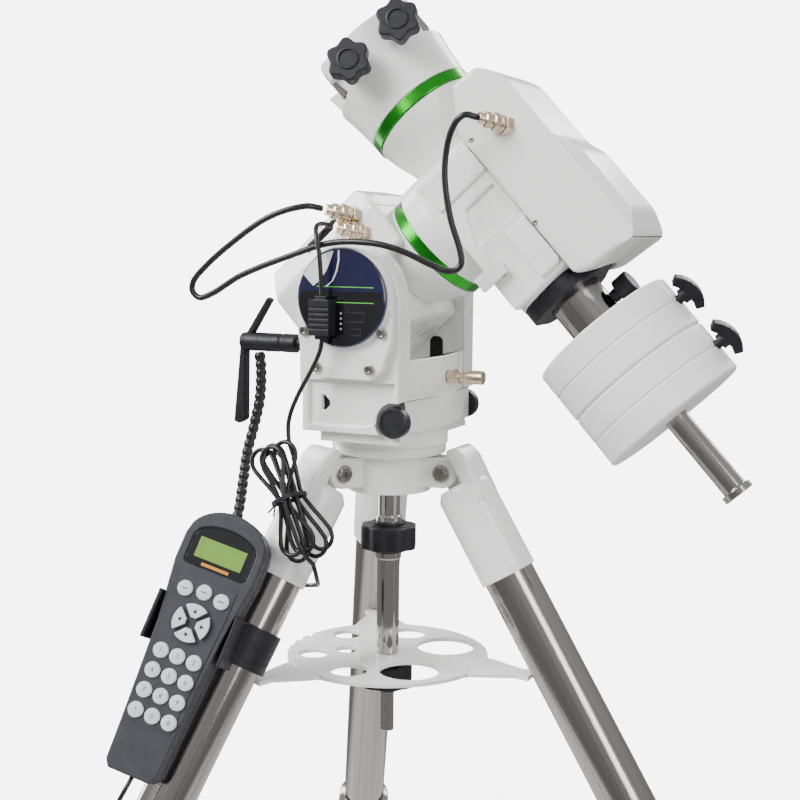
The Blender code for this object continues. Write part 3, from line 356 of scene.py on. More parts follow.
# Turns that lay a lathe's z axis along another axis of its frame
ALONG_X = Matrix.Rotation(pi / 2, 4, "Y")
ALONG_MINUS_X = Matrix.Rotation(-pi / 2, 4, "Y")
ALONG_Y = Matrix.Rotation(-pi / 2, 4, "X")
ALONG_MINUS_Y = Matrix.Rotation(pi / 2, 4, "X")
DOWN = Matrix.Rotation(pi, 4, "X")

# Lays a prism's outline across and up, with its height along the frame's x
FACING = Matrix(((0, 0, 1, 0), (1, 0, 0, 0), (0, 1, 0, 0), (0, 0, 0, 1)))

# The clutch lever's axis on the near side of the declination casting, with z outward
CLUTCH = DEC @ move(-22, 0, -62) @ ALONG_MINUS_Y


def leg_frame(name):
    """Along one leg: x away from it and upward, y across it, z up along it."""
    lean = Matrix.Rotation(-LEG_TILT, 4, "Y")
    return MOUNT @ spin(LEG_AZIMUTHS[name]) @ move(LEG_START_RADIUS, 0, 0) @ lean


def socket_frame(casting, place):
    """At a cable socket, with z along its plug."""
    return casting @ move(*place) @ Vector(PLUG_AIM).to_track_quat("Z", "Y").to_matrix().to_4x4()


def fine(steps):
    """Round shapes get more segments than in the CAD model; a hexagon stays one."""
    return steps if steps <= HEXAGON else steps * FINER


def in_scene(name, data):
    made = bpy.data.objects.new(name, data)
    bpy.context.scene.collection.objects.link(made)
    return made


def new_object(name, bm):
    bmesh.ops.recalc_face_normals(bm, faces=bm.faces)
    mesh = bpy.data.meshes.new(name)
    bm.to_mesh(mesh)
    bm.free()
    return in_scene(name, mesh)


def turned(profile, frame, steps=24, ring=False):
    """A body turned about the frame's z axis from (radius, z) points; a ring's profile closes on itself."""
    steps = fine(steps)
    bm = bmesh.new()
    loops = []
    for radius, z in profile:
        if radius == 0:
            loops.append([bm.verts.new(at(frame, (0, 0, z)))] * steps)
            continue
        corners = []
        for i in range(steps):
            angle = 2 * pi * i / steps
            corners.append(bm.verts.new(at(frame, (radius * cos(angle), radius * sin(angle), z))))
        loops.append(corners)
    pairs = list(zip(loops, loops[1:]))
    if ring:
        pairs.append((loops[-1], loops[0]))
    for low, high in pairs:
        for i in range(steps):
            j = (i + 1) % steps
            corners = []
            for vert in (low[i], low[j], high[j], high[i]):
                if vert not in corners:
                    corners.append(vert)
            if len(corners) > 2:
                bm.faces.new(corners)
    return bm


def rod(radius, low, high, frame, steps=20):
    return turned([(0, low), (radius, low), (radius, high), (0, high)], frame, steps)


def stepped(start, *steps):
    """A stepped shaft's profile from z = start, by each step's radius and the z where it ends."""
    points = [(0, start)]
    for radius, end in steps:
        points += [(radius, points[-1][1]), (radius, end)]
    return points + [(0, end)]


def sleeve(inner, outer, low, high, frame, steps):
    """A round band with a square section."""
    return turned([(inner, low), (outer, low), (outer, high), (inner, high)], frame, steps, ring=True)


def prism(outline, low, high, frame):
    """An outline in the frame's x and y, extruded from z = low to z = high."""
    bm = bmesh.new()
    ends = []
    for z in (low, high):
        ends.append([bm.verts.new(at(frame, (x, y, z))) for x, y in outline])
    bm.faces.new(ends[0])
    bm.faces.new(ends[1])
    for i in range(len(outline)):
        j = (i + 1) % len(outline)
        bm.faces.new((ends[0][i], ends[0][j], ends[1][j], ends[1][i]))
    return bm


def eased(bm, width, segments=4):
    """Rounds the sharp edges of a plain shape before it goes into a casting."""
    bmesh.ops.recalc_face_normals(bm, faces=bm.faces)
    edges = [e for e in bm.edges if len(e.link_faces) == 2 and e.calc_face_angle() > EASED_FROM]
    bmesh.ops.bevel(bm, geom=edges, offset=width * MM, offset_type="OFFSET", segments=segments, profile=0.5,
                    affect="EDGES", clamp_overlap=True)
    return bm


def side_prism(outline, low, high, frame):
    """An outline in the frame's x and z, extruded from y = low to y = high."""
    return prism([(x, -z) for x, z in outline], low, high, frame @ ALONG_Y)


def mirrored(outline, inner, outer, frame):
    """The same plate on both sides of the frame's middle plane, from y = inner to y = outer."""
    shapes = []
    for side in (-1, 1):
        low, high = sorted((side * inner, side * outer))
        shapes.append(side_prism(outline, low, high, frame))
    return shapes


def block(x, y, z, frame):
    corners = ((x[0], y[0]), (x[1], y[0]), (x[1], y[1]), (x[0], y[1]))
    return prism(corners, z[0], z[1], frame)


def arc(cx, cy, radius, start, end, count):
    """Points on an arc from start to end, in degrees."""
    count *= ARC_FINER
    points = []
    for i in range(count + 1):
        angle = radians(start + (end - start) * i / count)
        points.append((cx + radius * cos(angle), cy + radius * sin(angle)))
    return points


def lobed(radius, depth, lobes, steps):
    steps *= ARC_FINER
    points = []
    for i in range(steps):
        angle = 2 * pi * i / steps
        reach = radius - depth * (0.5 - 0.5 * cos(lobes * angle))
        points.append((reach * cos(angle), reach * sin(angle)))
    return points


def joined(shapes):
    """Several separate shapes in one mesh, for one Boolean."""
    whole = bmesh.new()
    for bm in shapes:
        bmesh.ops.recalc_face_normals(bm, faces=bm.faces)
        mesh = bpy.data.meshes.new("shape")
        bm.to_mesh(mesh)
        bm.free()
        whole.from_mesh(mesh)
        bpy.data.meshes.remove(mesh)
    return whole


def cleaned(mesh):
    """Merges the near-double points that a Boolean leaves."""
    bm = bmesh.new()
    bm.from_mesh(mesh)
    bmesh.ops.remove_doubles(bm, verts=bm.verts, dist=WELD * MM)
    bmesh.ops.dissolve_degenerate(bm, edges=bm.edges, dist=WELD * MM)
    bm.to_mesh(mesh)
    bm.free()
    return mesh


def solid(made, add, cut):
    """Applies the Booleans of an object and removes their shapes."""
    shapes = []
    for operation, group in (("UNION", add), ("DIFFERENCE", cut)):
        for shape in group:
            other = new_object(f"{made.name}_shape", shape)
            shapes.append(other)
            modifier = made.modifiers.new(operation, "BOOLEAN")
            modifier.operation = operation
            modifier.solver = "EXACT"
            modifier.object = other
    if shapes:
        graph = bpy.context.evaluated_depsgraph_get()
        whole = bpy.data.meshes.new_from_object(made.evaluated_get(graph))
        made.modifiers.clear()
        made.data = cleaned(whole)
        for other in shapes:
            bpy.data.objects.remove(other, do_unlink=True)


def softened(made, edge, pivot=None):
    """Rounds a piece's edges and smooths its shading; its origin goes to the pivot, a frame."""
    if pivot is not None:
        made.data.transform(pivot.inverted())
        made.matrix_world = pivot
    made.data.shade_smooth()
    made.data.set_sharp_from_angle(angle=SHARP)
    if edge:
        bevel = made.modifiers.new("edges", "BEVEL")
        bevel.width = edge * MM
        bevel.segments = SIDE_SEGMENTS
        bevel.limit_method = "ANGLE"
        bevel.angle_limit = EDGE_FROM
        bevel.use_clamp_overlap = False
    shading = made.modifiers.new("shading", "WEIGHTED_NORMAL")
    shading.keep_sharp = True


def detail(name, bm, look, body, add=(), cut=(), pivot=None, edge=EDGE):
    """A piece that stands on its own and rides on a body."""
    made = new_object(name, bm)
    solid(made, add, cut)
    made.data.materials.clear()
    made.data.materials.append(look)
    softened(made, edge, pivot)
    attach(made, body)
    return made


def piece(name, bm, look, add=(), cut=(), pivot=None, edge=EDGE):
    """A piece that stands for the CAD node of that name and rides on its body."""
    made = detail(f"{name}_look", bm, look, BODY_OF[name], add, cut, pivot, edge)
    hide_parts(name)
    return made


def smooth_route(points, count):
    """Even points on one smooth curve through the route's own points."""
    dense = []
    for i in range(len(points) - 1):
        before = points[max(i - 1, 0)]
        after = points[min(i + 2, len(points) - 1)]
        start, end = points[i], points[i + 1]
        span = (end - start).length
        first = (end - before).normalized() * span / 3
        last = (after - start).normalized() * span / 3
        dense.extend(interpolate_bezier(start, start + first, end - last, end, 12)[:-1])
    dense.append(points[-1])
    reach = [0.0]
    for a, b in zip(dense, dense[1:]):
        reach.append(reach[-1] + (b - a).length)
    even = []
    k = 0
    for i in range(count):
        wanted = reach[-1] * i / (count - 1)
        while k < len(dense) - 2 and reach[k + 1] < wanted:
            k += 1
        share = (wanted - reach[k]) / (reach[k + 1] - reach[k])
        even.append(dense[k].lerp(dense[k + 1], share))
    return even


def hinge_bolt(name, frame):
    """A hexagonal bolt, its nut and their washers through one leg hinge, along the frame's z."""
    detail(f"{name}_shank", rod(3.4, -16, 16, frame, 12), GUNMETAL, "tripod", pivot=frame, edge=0.4)
    for side, low, high in (("head", -16.5, -12.6), ("nut", 12.6, 16)):
        hexagon = rod(6.6, low, high, frame, HEXAGON)
        dome = turned([(0, low - 0.1), (6, low + 0.9), (6, high), (0, high)], frame, 12)
        detail(f"{name}_{side}", hexagon, GUNMETAL, "tripod", [dome], pivot=frame, edge=0.4)
    for side, low in (("front", -12.8), ("back", 11.8)):
        washer = sleeve(3, 8.2, low, low + 1, frame, 16)
        detail(f"{name}_washer_{side}", washer, ALLOY, "tripod", pivot=frame, edge=0.2)


def build_tripod_head():
    body = turned([(0, -HUB_HEIGHT), (HUB_R, -HUB_HEIGHT), (HUB_R, -10), (HEAD_R, -8), (HEAD_R, 0), (0, 0)],
                  MOUNT, 28)
    ears = []
    bolts = []
    for azimuth in LEG_AZIMUTHS.values():
        frame = MOUNT @ spin(azimuth) @ move(LEG_START_RADIUS, 0, 0)
        hinge = Matrix.Rotation(-LEG_TILT, 4, "Y") @ Vector((HINGE_X, 0, HINGE_Z))
        x, z = hinge.x, hinge.z
        outline = [(-20, z - EAR_R)] + arc(x, z, EAR_R, -90, 90, 6) + [(-20, z + EAR_R)]
        ears += mirrored(outline, 5, 12, frame)
        bolts.append(frame @ move(x, 0, z) @ ALONG_Y)
    peg = rod(PEG_R, -4, PEG_TOP, MOUNT @ move(PEG_X, 0, 0), 10)
    bore = rod(ROD_HOLE_R, -HUB_HEIGHT - 10, 10, MOUNT, 12)
    piece("tripod_head", body, WHITE, [joined(ears), peg], [bore], edge=1.1)
    for index, frame in enumerate(bolts):
        hinge_bolt(f"hinge_bolt_{index}", frame)


def build_rod():
    pivot = MOUNT @ move(0, 0, -85)
    profile = stepped(ROD_END, (ROD_THREAD_R, TRAY_TOP + GAP), (ROD_R, -104.5), (11.5, -66),
                      (ROD_R, -HUB_HEIGHT - GAP), (ROD_THREAD_R, 18))
    piece("mount_rod", turned(profile, MOUNT, 14), CHROME, pivot=pivot)
    grip = eased(prism(lobed(ROD_KNOB_R, 2.2, 8, 48), -95.5, -74.5, MOUNT), 1.8, 3)
    collar = rod(15, -98.5, -71.5, MOUNT, 16)
    through = rod(11.4, -200, 0, MOUNT, 16)
    detail("rod_grip", grip, BLACK, "rod", [collar], [through], pivot, 0.5)


def build_tray():
    half = [(60, 30), (95, 22), (125, 9), (TRAY_ARM_END, 12)]
    outline = [(x, -y) for x, y in half] + half[::-1]
    arms = []
    for azimuth in LEG_AZIMUTHS.values():
        arms.append(prism(outline, TRAY_Z + 0.1, TRAY_TOP - 0.1, MOUNT @ spin(azimuth)))
    through = (TRAY_Z - 10, TRAY_TOP + 10)
    holes = []
    for azimuth, radius, hole in TRAY_HOLES:
        holes.append(rod(hole, *through, MOUNT @ spin(azimuth) @ move(radius, 0, 0), 12))
    holes.append(rod(ROD_HOLE_R, *through, MOUNT, 24))
    for azimuth in TRAY_SLOT_ANGLES:
        holes.append(block((76, 100), (-3.5, 3.5), through, MOUNT @ spin(azimuth)))
    disc = rod(TRAY_R, TRAY_Z, TRAY_TOP, MOUNT, 36)
    piece("tray", disc, WHITE, [joined(arms)], [joined(holes)], MOUNT @ move(0, 0, TRAY_Z))


def build_tray_knob():
    top = TRAY_Z - GAP
    knob = prism(lobed(23.5, 3, 6, 36), top - 26, top - 6, MOUNT)
    hub = rod(11, top - 24, top, MOUNT, 24)
    bore = rod(ROD_HOLE_R, top - 50, top + 10, MOUNT, 24)
    piece("tray_knob", knob, BLACK, [hub], [bore], MOUNT @ move(0, 0, top))


def build_leg_socket(name, frame):
    hinge = frame @ move(HINGE_X, 0, HINGE_Z)
    barrel = turned([(0, SOCKET_END), (SOCKET_R, SOCKET_END), (SOCKET_R, SOCKET_TOP), (20, -38), (0, -38)],
                    frame, 20)
    shoulder = eased(side_prism([(6.8, -60), (20.5, -60), (22.5, -20), (18.5, -9), (6.8, -7)], -18.5, 18.5,
                                frame), 4)
    outline = [(10, -60), (10, HINGE_Z + 8)]
    outline += arc(HINGE_X, HINGE_Z, 12.5, 60, 250, 7)
    outline += [(-12, -60)]
    tongue = side_prism(outline, -TONGUE_HALF, TONGUE_HALF, frame)
    pin_hole = rod(3.9, -30, 30, hinge @ ALONG_Y, 16)
    tube_hole = rod(LEG_TUBE_R + GAP, SOCKET_END - 10, LEG_TUBE_TOP + GAP, frame, 20)
    piece(f"leg_socket_{name}", barrel, WHITE, [shoulder, tongue], [tube_hole, pin_hole], hinge)


def build_leg_tube(name, frame):
    inner = LEG_TUBE_R - LEG_TUBE_WALL
    collar_top = LEG_TUBE_END + COLLAR_LENGTH
    tube = turned([(inner, LEG_TUBE_END), (COLLAR_R, LEG_TUBE_END), (COLLAR_R, collar_top - 4),
                   (LEG_TUBE_R, collar_top), (LEG_TUBE_R, LEG_TUBE_TOP), (inner, LEG_TUBE_TOP)], frame, 20,
                  ring=True)
    stud = frame @ move(0, 0, LEG_TUBE_END + COLLAR_LENGTH / 2) @ ALONG_X
    stud_hole = rod(3.9, LOWER_LEG_R + 0.5, COLLAR_R + 20, stud, 8)
    piece(f"leg_tube_{name}", tube, STEEL, cut=[stud_hole], pivot=frame)

    knob = turned([(0, LEG_TUBE_R), (3.5, LEG_TUBE_R), (3.5, COLLAR_R + 3), (7, COLLAR_R + 3),
                   (9, COLLAR_R + 10), (15, COLLAR_R + 12), (15, COLLAR_R + 20), (0, COLLAR_R + 22)], stud,
                  12)
    piece(f"leg_lock_knob_{name}", knob, BLACK, pivot=stud)


def build_lower_leg(name, frame):
    foot = MOUNT @ spin(LEG_AZIMUTHS[name]) @ move(FOOT_RADIUS, 0, -HEAD_HEIGHT)
    foot_end = -(HEAD_HEIGHT - FOOT_HEIGHT / 2) / cos(LEG_TILT)
    lower = rod(LOWER_LEG_R, foot_end, LOWER_LEG_TOP, frame, 16)
    rubber = turned([(0, 0), (FOOT_R, 0), (FOOT_R, 10), (22, FOOT_HEIGHT - 2), (22, FOOT_HEIGHT + 10),
                     (0, FOOT_HEIGHT + 12)], foot, 16)
    piece(f"lower_leg_{name}", lower, STEEL, pivot=frame)
    pocket = rod(LOWER_LEG_R + 0.1, foot_end - 0.1, LOWER_LEG_TOP, frame, 16)
    detail(f"rubber_foot_{name}", rubber, RUBBER, f"foot_{name}", cut=[pocket], pivot=foot)


def base_castings():
    """What the base's flange carries: the fork's floor and arms, its prow and the rear bracket."""
    floor = prism([(-43, -80), (46, -80), (46.5, -57), (56, 0), (46.5, 57), (46, 80), (-43, 80)], 17,
                  FORK_FLOOR, MOUNT)
    skirt = block((-30, 43), (-72, 72), (8, 20), MOUNT)
    outline = [(46, 44), (46, ALTITUDE_AXIS_Z)]
    outline += arc(0, ALTITUDE_AXIS_Z, ARM_TOP_R, 8, 172, 16)
    outline += [(-46, ALTITUDE_AXIS_Z), (-46, 60), (-43, 44)]
    arms = [eased(arm, 1.8, 3) for arm in mirrored(outline, ARM_IN, ARM_OUT, MOUNT)]
    prow = prism([(45.5, -57.5), (55.7, 0), (45.5, 57.5), (40, 57.5), (50, 0), (40, -57.5)], 40, 78, MOUNT)
    rear = side_prism([(-40, 30), (-76, 66), (-76, 90.5), (-68, 90.5), (-60, 78), (-52, 70), (-40, 44)],
                      -12, 12, MOUNT)
    return [floor, skirt, joined(arms), prow, rear]


def base_openings():
    """What is cut out of the base: its bores, the knobs' recesses and the pockets outside its arms."""
    knob_axis = MOUNT @ move(AZIMUTH_KNOB_X, 0, AZIMUTH_KNOB_Z) @ ALONG_Y
    trunnion_hole = rod(TRUNNION_R + GAP, -100, 100, MOUNT @ move(0, 0, ALTITUDE_AXIS_Z) @ ALONG_Y, 24)
    peg_hole = block((PEG_X - 8, PEG_X + 8), (-11.5, 11.5), (-10, PEG_TOP + 3), MOUNT)
    bolt_hole = rod(STUD_HOLE_R, -100, 100, knob_axis, 16)
    recess = arc(AZIMUTH_KNOB_X, AZIMUTH_KNOB_Z, 16, 90, 270, 8)
    recess += [(65, AZIMUTH_KNOB_Z - 16), (65, AZIMUTH_KNOB_Z + 16)]
    pocket = [(-37.8, 60), (-37.8, 22.5), (12, 22.5)] + arc(15, 44, 20, -70, -30, 4)
    pocket += [(38.5, 45.5), (42, 49), (42, 60)]
    window = [(-26.8, 34.5), (-26.8, 47.5), (-24, 47.5), (-19, 42.5), (-19, 39), (-23.5, 34.5)]
    pockets = []
    for pair in zip(mirrored(pocket, ARM_OUT - 4, ARM_OUT + 10, MOUNT),
                    mirrored(window, ARM_OUT - 12, ARM_OUT - 3.9, MOUNT)):
        pockets += pair
    rod_hole = rod(ROD_HOLE_R, -10, 20.5, MOUNT, 12)
    stop_hole = rod(STUD_HOLE_R, 35, 70, MOUNT @ move(0, 0, STOP_SCREW_Z) @ ALONG_X, 16)
    lever_hole = rod(5.3, 50, 90, MOUNT @ move(0, 0, LEVER_Z) @ ALONG_MINUS_X, 16)
    return [trunnion_hole, peg_hole, bolt_hole, joined(mirrored(recess, 70.2, 95, MOUNT)), *pockets,
            rod_hole, joined([stop_hole, lever_hole])]


def build_azimuth_base():
    # Painted shade: near-black plates in the bottom of the arms' window recesses, and a near-black patch on
    # the far arm's inner face where no slot is cut, stand in for the shade inside these openings.
    backing = [(-27.2, 34), (-27.2, 48), (-18.5, 48), (-18.5, 34)]
    shapes = mirrored(backing, ARM_OUT - 11.9, ARM_OUT - 9, MOUNT)
    for name, dark in zip(("near", "far"), shapes):
        detail(f"base_window_{name}", dark, PAINTED_SHADE_AND_SEAM, "base", edge=0)
    slot = [(13, 70), (25.5, 69), (25.5, 86.5), (22.5, 89.5), (16, 89.5), (13, 86)]
    dark = eased(side_prism(slot, ARM_IN - 0.8, ARM_IN + 4, MOUNT), 0.6, 2)
    detail("base_slot_painted_shade", dark, PAINTED_SHADE_AND_SEAM, "base", edge=0)
    piece("azimuth_base", rod(FLANGE_R, GAP, FLANGE_HEIGHT, MOUNT, 28), WHITE, base_castings(),
          base_openings(), MOUNT)


def build_fork_cover():
    face = -ARM_OUT - GAP
    outline = [(-22, 62.4), (24, 62.4), (34, 71), (43, 96), (43, 115)]
    outline += arc(0, ALTITUDE_AXIS_Z, 42, -10, 190, 16)
    outline += [(-43, 115), (-43, 96), (-34, 71)]
    plate = side_prism(outline, face - COVER_THICK, face, MOUNT)
    piece("fork_cover", plate, WHITE, edge=1.2)


def build_azimuth_knobs():
    for name, side in (("near", -1), ("far", 1)):
        turn = ALONG_Y if side > 0 else ALONG_MINUS_Y
        frame = MOUNT @ move(AZIMUTH_KNOB_X, 0, AZIMUTH_KNOB_Z) @ turn
        profile = [(0, 9.8), (4, 9.8), (4, 70.6), (AZIMUTH_KNOB_R, 70.6), (AZIMUTH_KNOB_R, 78.5),
                   (AZIMUTH_KNOB_R - 1.5, 80), (AZIMUTH_KNOB_R - 3, 80), (AZIMUTH_KNOB_R - 3.4, 79.2),
                   (0, 79.2)]
        piece(f"azimuth_knob_{name}", turned(profile, frame, 16), SLATE, pivot=frame, edge=0)


def build_altitude_controls():
    frame = MOUNT @ move(0, 0, STOP_SCREW_Z) @ ALONG_X
    profile = stepped(48, (4, 56.3), (6.2, 67), (4, 74.6), (6, 88))
    piece("altitude_stop_screw", turned(profile, frame, 14), BRASS, pivot=frame)

    hub_frame = MOUNT @ move(0, 0, LEVER_Z) @ ALONG_MINUS_X
    hub = turned([(0, 61), (5, 61), (5, 92), (7.8, 92.2), (8.5, 92.8), (8.5, 106), (7.5, 108), (8.5, 110),
                  (8.5, 145.5), (7.8, 149), (6, 150), (0, 150)], hub_frame, 14)
    blade = eased(side_prism([(-144.5, 82), (-145.5, 10), (-152, 6), (-157, 8), (-149.5, 82)], -5.2, 5.2,
                             MOUNT), 1.5, 3)
    finger = eased(side_prism([(-149, 82), (-141, 84), (-118, 121), (-122, 123)], -4, 4, MOUNT), 1.1, 3)
    piece("altitude_lever", hub, BLACK, [blade, finger], pivot=hub_frame, edge=0)


def build_polar_housing():
    half = HOUSING_HALF
    lower = eased(side_prism([(HOUSING_REAR, -5), (-40, -40), (18, -40), (24, -26), (24, 30),
                              (HOUSING_REAR, 30)], 0.4 - half, half - 0.4, POLAR), 4)
    upper = eased(prism([(-half, 10), (-half, 52), (-28, HOUSING_TOP), (28, HOUSING_TOP), (half, 52),
                         (half, 10)], HOUSING_REAR - 0.4, 57.6, POLAR @ FACING), 5)
    cone = turned([(0, 10), (28, 10), (28, 22), (35, 29), (41, 40), (RING_R, 58), (RING_R, 59), (0, 59)],
                  POLAR @ ALONG_X, 28)
    trunnion = rod(TRUNNION_R, -74.5, 74.5, POLAR @ ALONG_Y, 24)
    chamfer = side_prism([(42, 95), (43, HOUSING_TOP), (57, 62), (57, 50), (90, 50), (90, 95)], -70, 70,
                         POLAR)
    bore = turned(stepped(-12, (WHEEL_ROOM_R, 9.5), (RA_SHAFT_HOLE_R, 75)), POLAR @ ALONG_X)
    motor_room = block((-19, 18.5), (-44, 44), (28, 73.5), POLAR)
    piece("polar_housing", lower, WHITE, [upper, cone, trunnion], [chamfer, bore, motor_room], POLAR)

    ring = sleeve(22.5, RING_R, 0, RING_THICK, POLAR @ move(RA_RING_S + GAP, 0, 0) @ ALONG_X, 30)
    piece("ra_ring", ring, GREEN, pivot=POLAR @ ALONG_X)


def dec_neck(grow):
    """The turned casting about the declination axis; the motor cover is cut to clear it."""
    return turned([(0, -97 - grow), (40 + grow, -97 - grow), (44 + grow, -50), (38 + grow, -36),
                   (38 + grow, 52), (44 + grow, 69), (48.5 + grow, 86.5 + grow), (0, 86.5 + grow)], DEC, 28)


def build_dec_housing():
    barrel = turned([(0, -54.9), (51.5, -54.9), (52.5, -50), (52.5, -36), (45, -28), (0, -28)],
                    DEC @ ALONG_X, 28)
    body = eased(block((-34, DEC_SPLIT), (-44, 44), (-96, 38), DEC), 3)
    plate = [(1, -90.5), (20, -90.5), (22.8, -88), (22.8, -44), (1, -44)]
    rib = [(-29, 6), (22.8, 6), (22.8, 30), (12, 33), (-29, 33)]
    panels = []
    for flat, ridge in zip(mirrored(plate, 40, 47.4, DEC), mirrored(rib, 42, 46.2, DEC)):
        panels += [eased(flat, 1.5, 3), eased(ridge, 1.2, 3)]
    dip = [(-25, -36), (15, -36), (18.5, -33), (18.5, -6), (-13, -6)]
    dips = mirrored(dip, 41.5, 50, DEC)
    bore = turned(stepped(-60, (DEC_SHAFT_HOLE_R, DEC_WHEEL_Z[0] - 1.2), (WHEEL_ROOM_R, 100)), DEC)
    polar_bore = rod(RA_SHAFT_HOLE_R, -60, -26, DEC @ ALONG_X, 24)
    lever_hole = rod(6.3, 34, 60, CLUTCH, 16)
    piece("dec_housing", dec_neck(0), WHITE, [barrel, body, joined(panels)],
          [bore, joined(dips), joined([polar_bore, lever_hole])], POLAR, edge=0.9)


def build_dec_cover():
    low = DEC_SPLIT + GAP
    outline = [(low, -106), (36, -112), (78, -116), (89, -96), (89, -34), (81.5, -15), (81.5, 50), (75, 64),
               (69, 72), (46, 75), (low, 42)]
    shell = eased(side_prism(outline, -50, 50, DEC), 4.5)
    front = low - 5
    inner = [(front, -102), (74, -111), (84, -94), (84, -36), (76.5, -17), (76.5, 48), (66, 68), (46, 70),
             (front, 38)]
    hollows = []
    for deep, half in ((64, 45.5), (74, 40.5), (84, 33)):
        hollows.append(side_prism([(min(x, deep), z) for x, z in inner], -half, half, DEC))
    wedge = [(66, 52), (105, 52), (105, 34), (89, 34), (81.5, 44.5), (66, 50)]
    rounding = [prism([(x, side * y) for x, y in wedge], -130, 90, DEC) for side in (-1, 1)]
    lock_room = rod(42.5, 97.3, 130, DEC @ DOWN, 24)
    piece("dec_cover", shell, WHITE, [], [joined(rounding), dec_neck(GAP), *hollows, lock_room])


def build_dec_ring():
    ring = sleeve(35.5, RING_R, 0, RING_THICK, DEC @ move(0, 0, DEC_RING_Z), 30)
    piece("dec_ring", ring, GREEN, pivot=DEC)


def build_clutch_lever():
    hub = rod(6, 34.3, 50, CLUTCH, 16)
    tab = block((-20, 6.4), (-6.4, 6.4), (46.2, 51.5), CLUTCH)
    piece("ra_clutch_lever", hub, WHITE, [tab], pivot=CLUTCH)


def build_counterweight_shaft():
    frame = DEC @ DOWN
    lock = prism(lobed(41, 4.5, 5, 40), 97.6, 111, frame)
    bore = rod(CW_SLEEVE_R + GAP, 90, 120, frame, 24)
    piece("cw_lock_ring", lock, BLACK, cut=[bore], pivot=frame)

    knob_frame = frame @ move(0, 0, 133) @ ALONG_X
    shaft = turned([(0, 97.4), (CW_SLEEVE_R, 97.4), (CW_SLEEVE_R, 145.5), (21.5, 146), (CW_SHAFT_R, 146),
                    (CW_SHAFT_R, CW_END - 6), (13, CW_END - 6), (13, CW_END), (0, CW_END)], frame, 24)
    piece("cw_shaft", shaft, STEEL, cut=[rod(3.3, 8, 30, knob_frame, 12)], pivot=frame)

    knob = turned([(0, 8.5), (3, 8.5), (3, 23.8), (5.5, 23.8), (5.5, 30), (10.5, 31), (10.5, 44), (9.5, 45),
                   (0, 45)], knob_frame, 14)
    piece("shaft_lock_knob", knob, BLACK, pivot=knob_frame)


def build_counterweight(name, low):
    """One weight with a groove round its middle, and its wing knob."""
    frame = DEC @ DOWN
    high = low + WEIGHT_THICK
    middle = (low + high) / 2
    chamfer = 1.5
    groove = 1.2
    weight = turned([(CW_SHAFT_R + GAP, low), (WEIGHT_R - chamfer, low), (WEIGHT_R, low + chamfer),
                     (WEIGHT_R, middle - 1), (WEIGHT_R - groove, middle), (WEIGHT_R, middle + 1),
                     (WEIGHT_R, high - chamfer), (WEIGHT_R - chamfer, high), (CW_SHAFT_R + GAP, high)],
                    frame, 24, ring=True)
    knob_frame = frame @ move(0, 0, middle) @ ALONG_X
    stud_hole = rod(STUD_HOLE_R, 16, 80, knob_frame, 12)
    piece(f"weight_{name}", weight, WEIGHT_WHITE, cut=[stud_hole], pivot=frame)
    knob = turned(stepped(17, (4, WEIGHT_R + 3.5), (6.5, WEIGHT_R + 9)), knob_frame, 16)
    half = [(0, 18.5), (6, 17.8), (12, 15.5), (17.2, 11.5), (14, 5.2), (8, 7.8)]
    outline = [(x, WEIGHT_R + z) for x, z in half] + [(-x, WEIGHT_R + z) for x, z in reversed(half[1:])]
    wing = eased(side_prism(outline, -5.2, 5.2, knob_frame @ spin(radians(25))), 1, 3)
    piece(f"weight_knob_{name}", knob, BLACK, [wing], pivot=knob_frame, edge=0.3)


def saddle_knob_frame(side):
    """On the axis of the lower (-1) or upper (1) saddle knob, with z outward along it."""
    return SADDLE @ move(side * SADDLE_KNOB_SPACING / 2, 0, SADDLE_KNOB_Z) @ ALONG_MINUS_Y


def build_saddle():
    body = turned([(0, 97.1), (RING_R, 97.1), (50.5, 112), (53, 130), (55.5, 146), (57, 156), (57.5, 166),
                   (0, 166)], SADDLE, 28)
    groove = prism([(-36, 136), (26, 136), (22.5, 172), (-36, 172)], -70, 70, SADDLE @ FACING)
    shaft_hole = rod(DEC_SHAFT_HOLE_R, 90, 130.3, SADDLE, 24)
    plan = [(30, -47.8), (44, -44), (47.5, -30), (47.5, 10.3), (30, 10.3)]
    stud_holes = []
    pads = []
    horns = []
    for side in (-1, 1):
        stud_holes.append(rod(STUD_HOLE_R, 30, 80, saddle_knob_frame(side), 16))
        pads.append(rod(8.5, 40, 52, saddle_knob_frame(side), 16))
        horns.append(eased(prism([(side * x, y) for x, y in plan], 149.3, 167.2, SADDLE), 2.5))
    piece("saddle", body, WHITE, [joined(pads), joined(horns)], [groove, shaft_hole, joined(stud_holes)],
          SADDLE)


def build_saddle_jaw():
    profile = [(-33.5, 136.3), (-26, 136.3), (-22.5, 164), (-33.5, 164)]
    jaw = prism(profile, -46, 46, SADDLE @ FACING)
    holes = [rod(STUD_HOLE_R, 28.5, 40, saddle_knob_frame(side), 16) for side in (-1, 1)]
    piece("saddle_jaw", jaw, STEEL, cut=[joined(holes)], pivot=SADDLE)


def build_saddle_knob(name, frame):
    stem = turned(stepped(29, (4, 58.5), (8, 66)), frame, 16)
    star = prism(lobed(STAR_KNOB_R, 3.5, 6, 36), 61, 74, frame)
    piece(f"saddle_knob_{name}", stem, SLATE, [eased(star, 1.6, 3)], pivot=frame, edge=0)
    rim = turned([(7.2, 73.8), (9.2, 73.8), (9.2, 74.8), (8.6, 75.2), (7.2, 75.2)], frame, 16, ring=True)
    detail(f"saddle_knob_rim_{name}", rim, SLATE, BODY_OF[f"saddle_knob_{name}"], pivot=frame, edge=0.2)


def handset_frame():
    """At the middle of the keypad's face: x out of the face, y to its right, z up to the screen."""
    beside = leg_frame("near") @ move(0, 0, -HANDSET_MIDDLE) @ spin(pi / 4)
    return beside @ move(60, -30.8, 0) @ Matrix.Rotation(HANDSET_TILT, 4, "X")


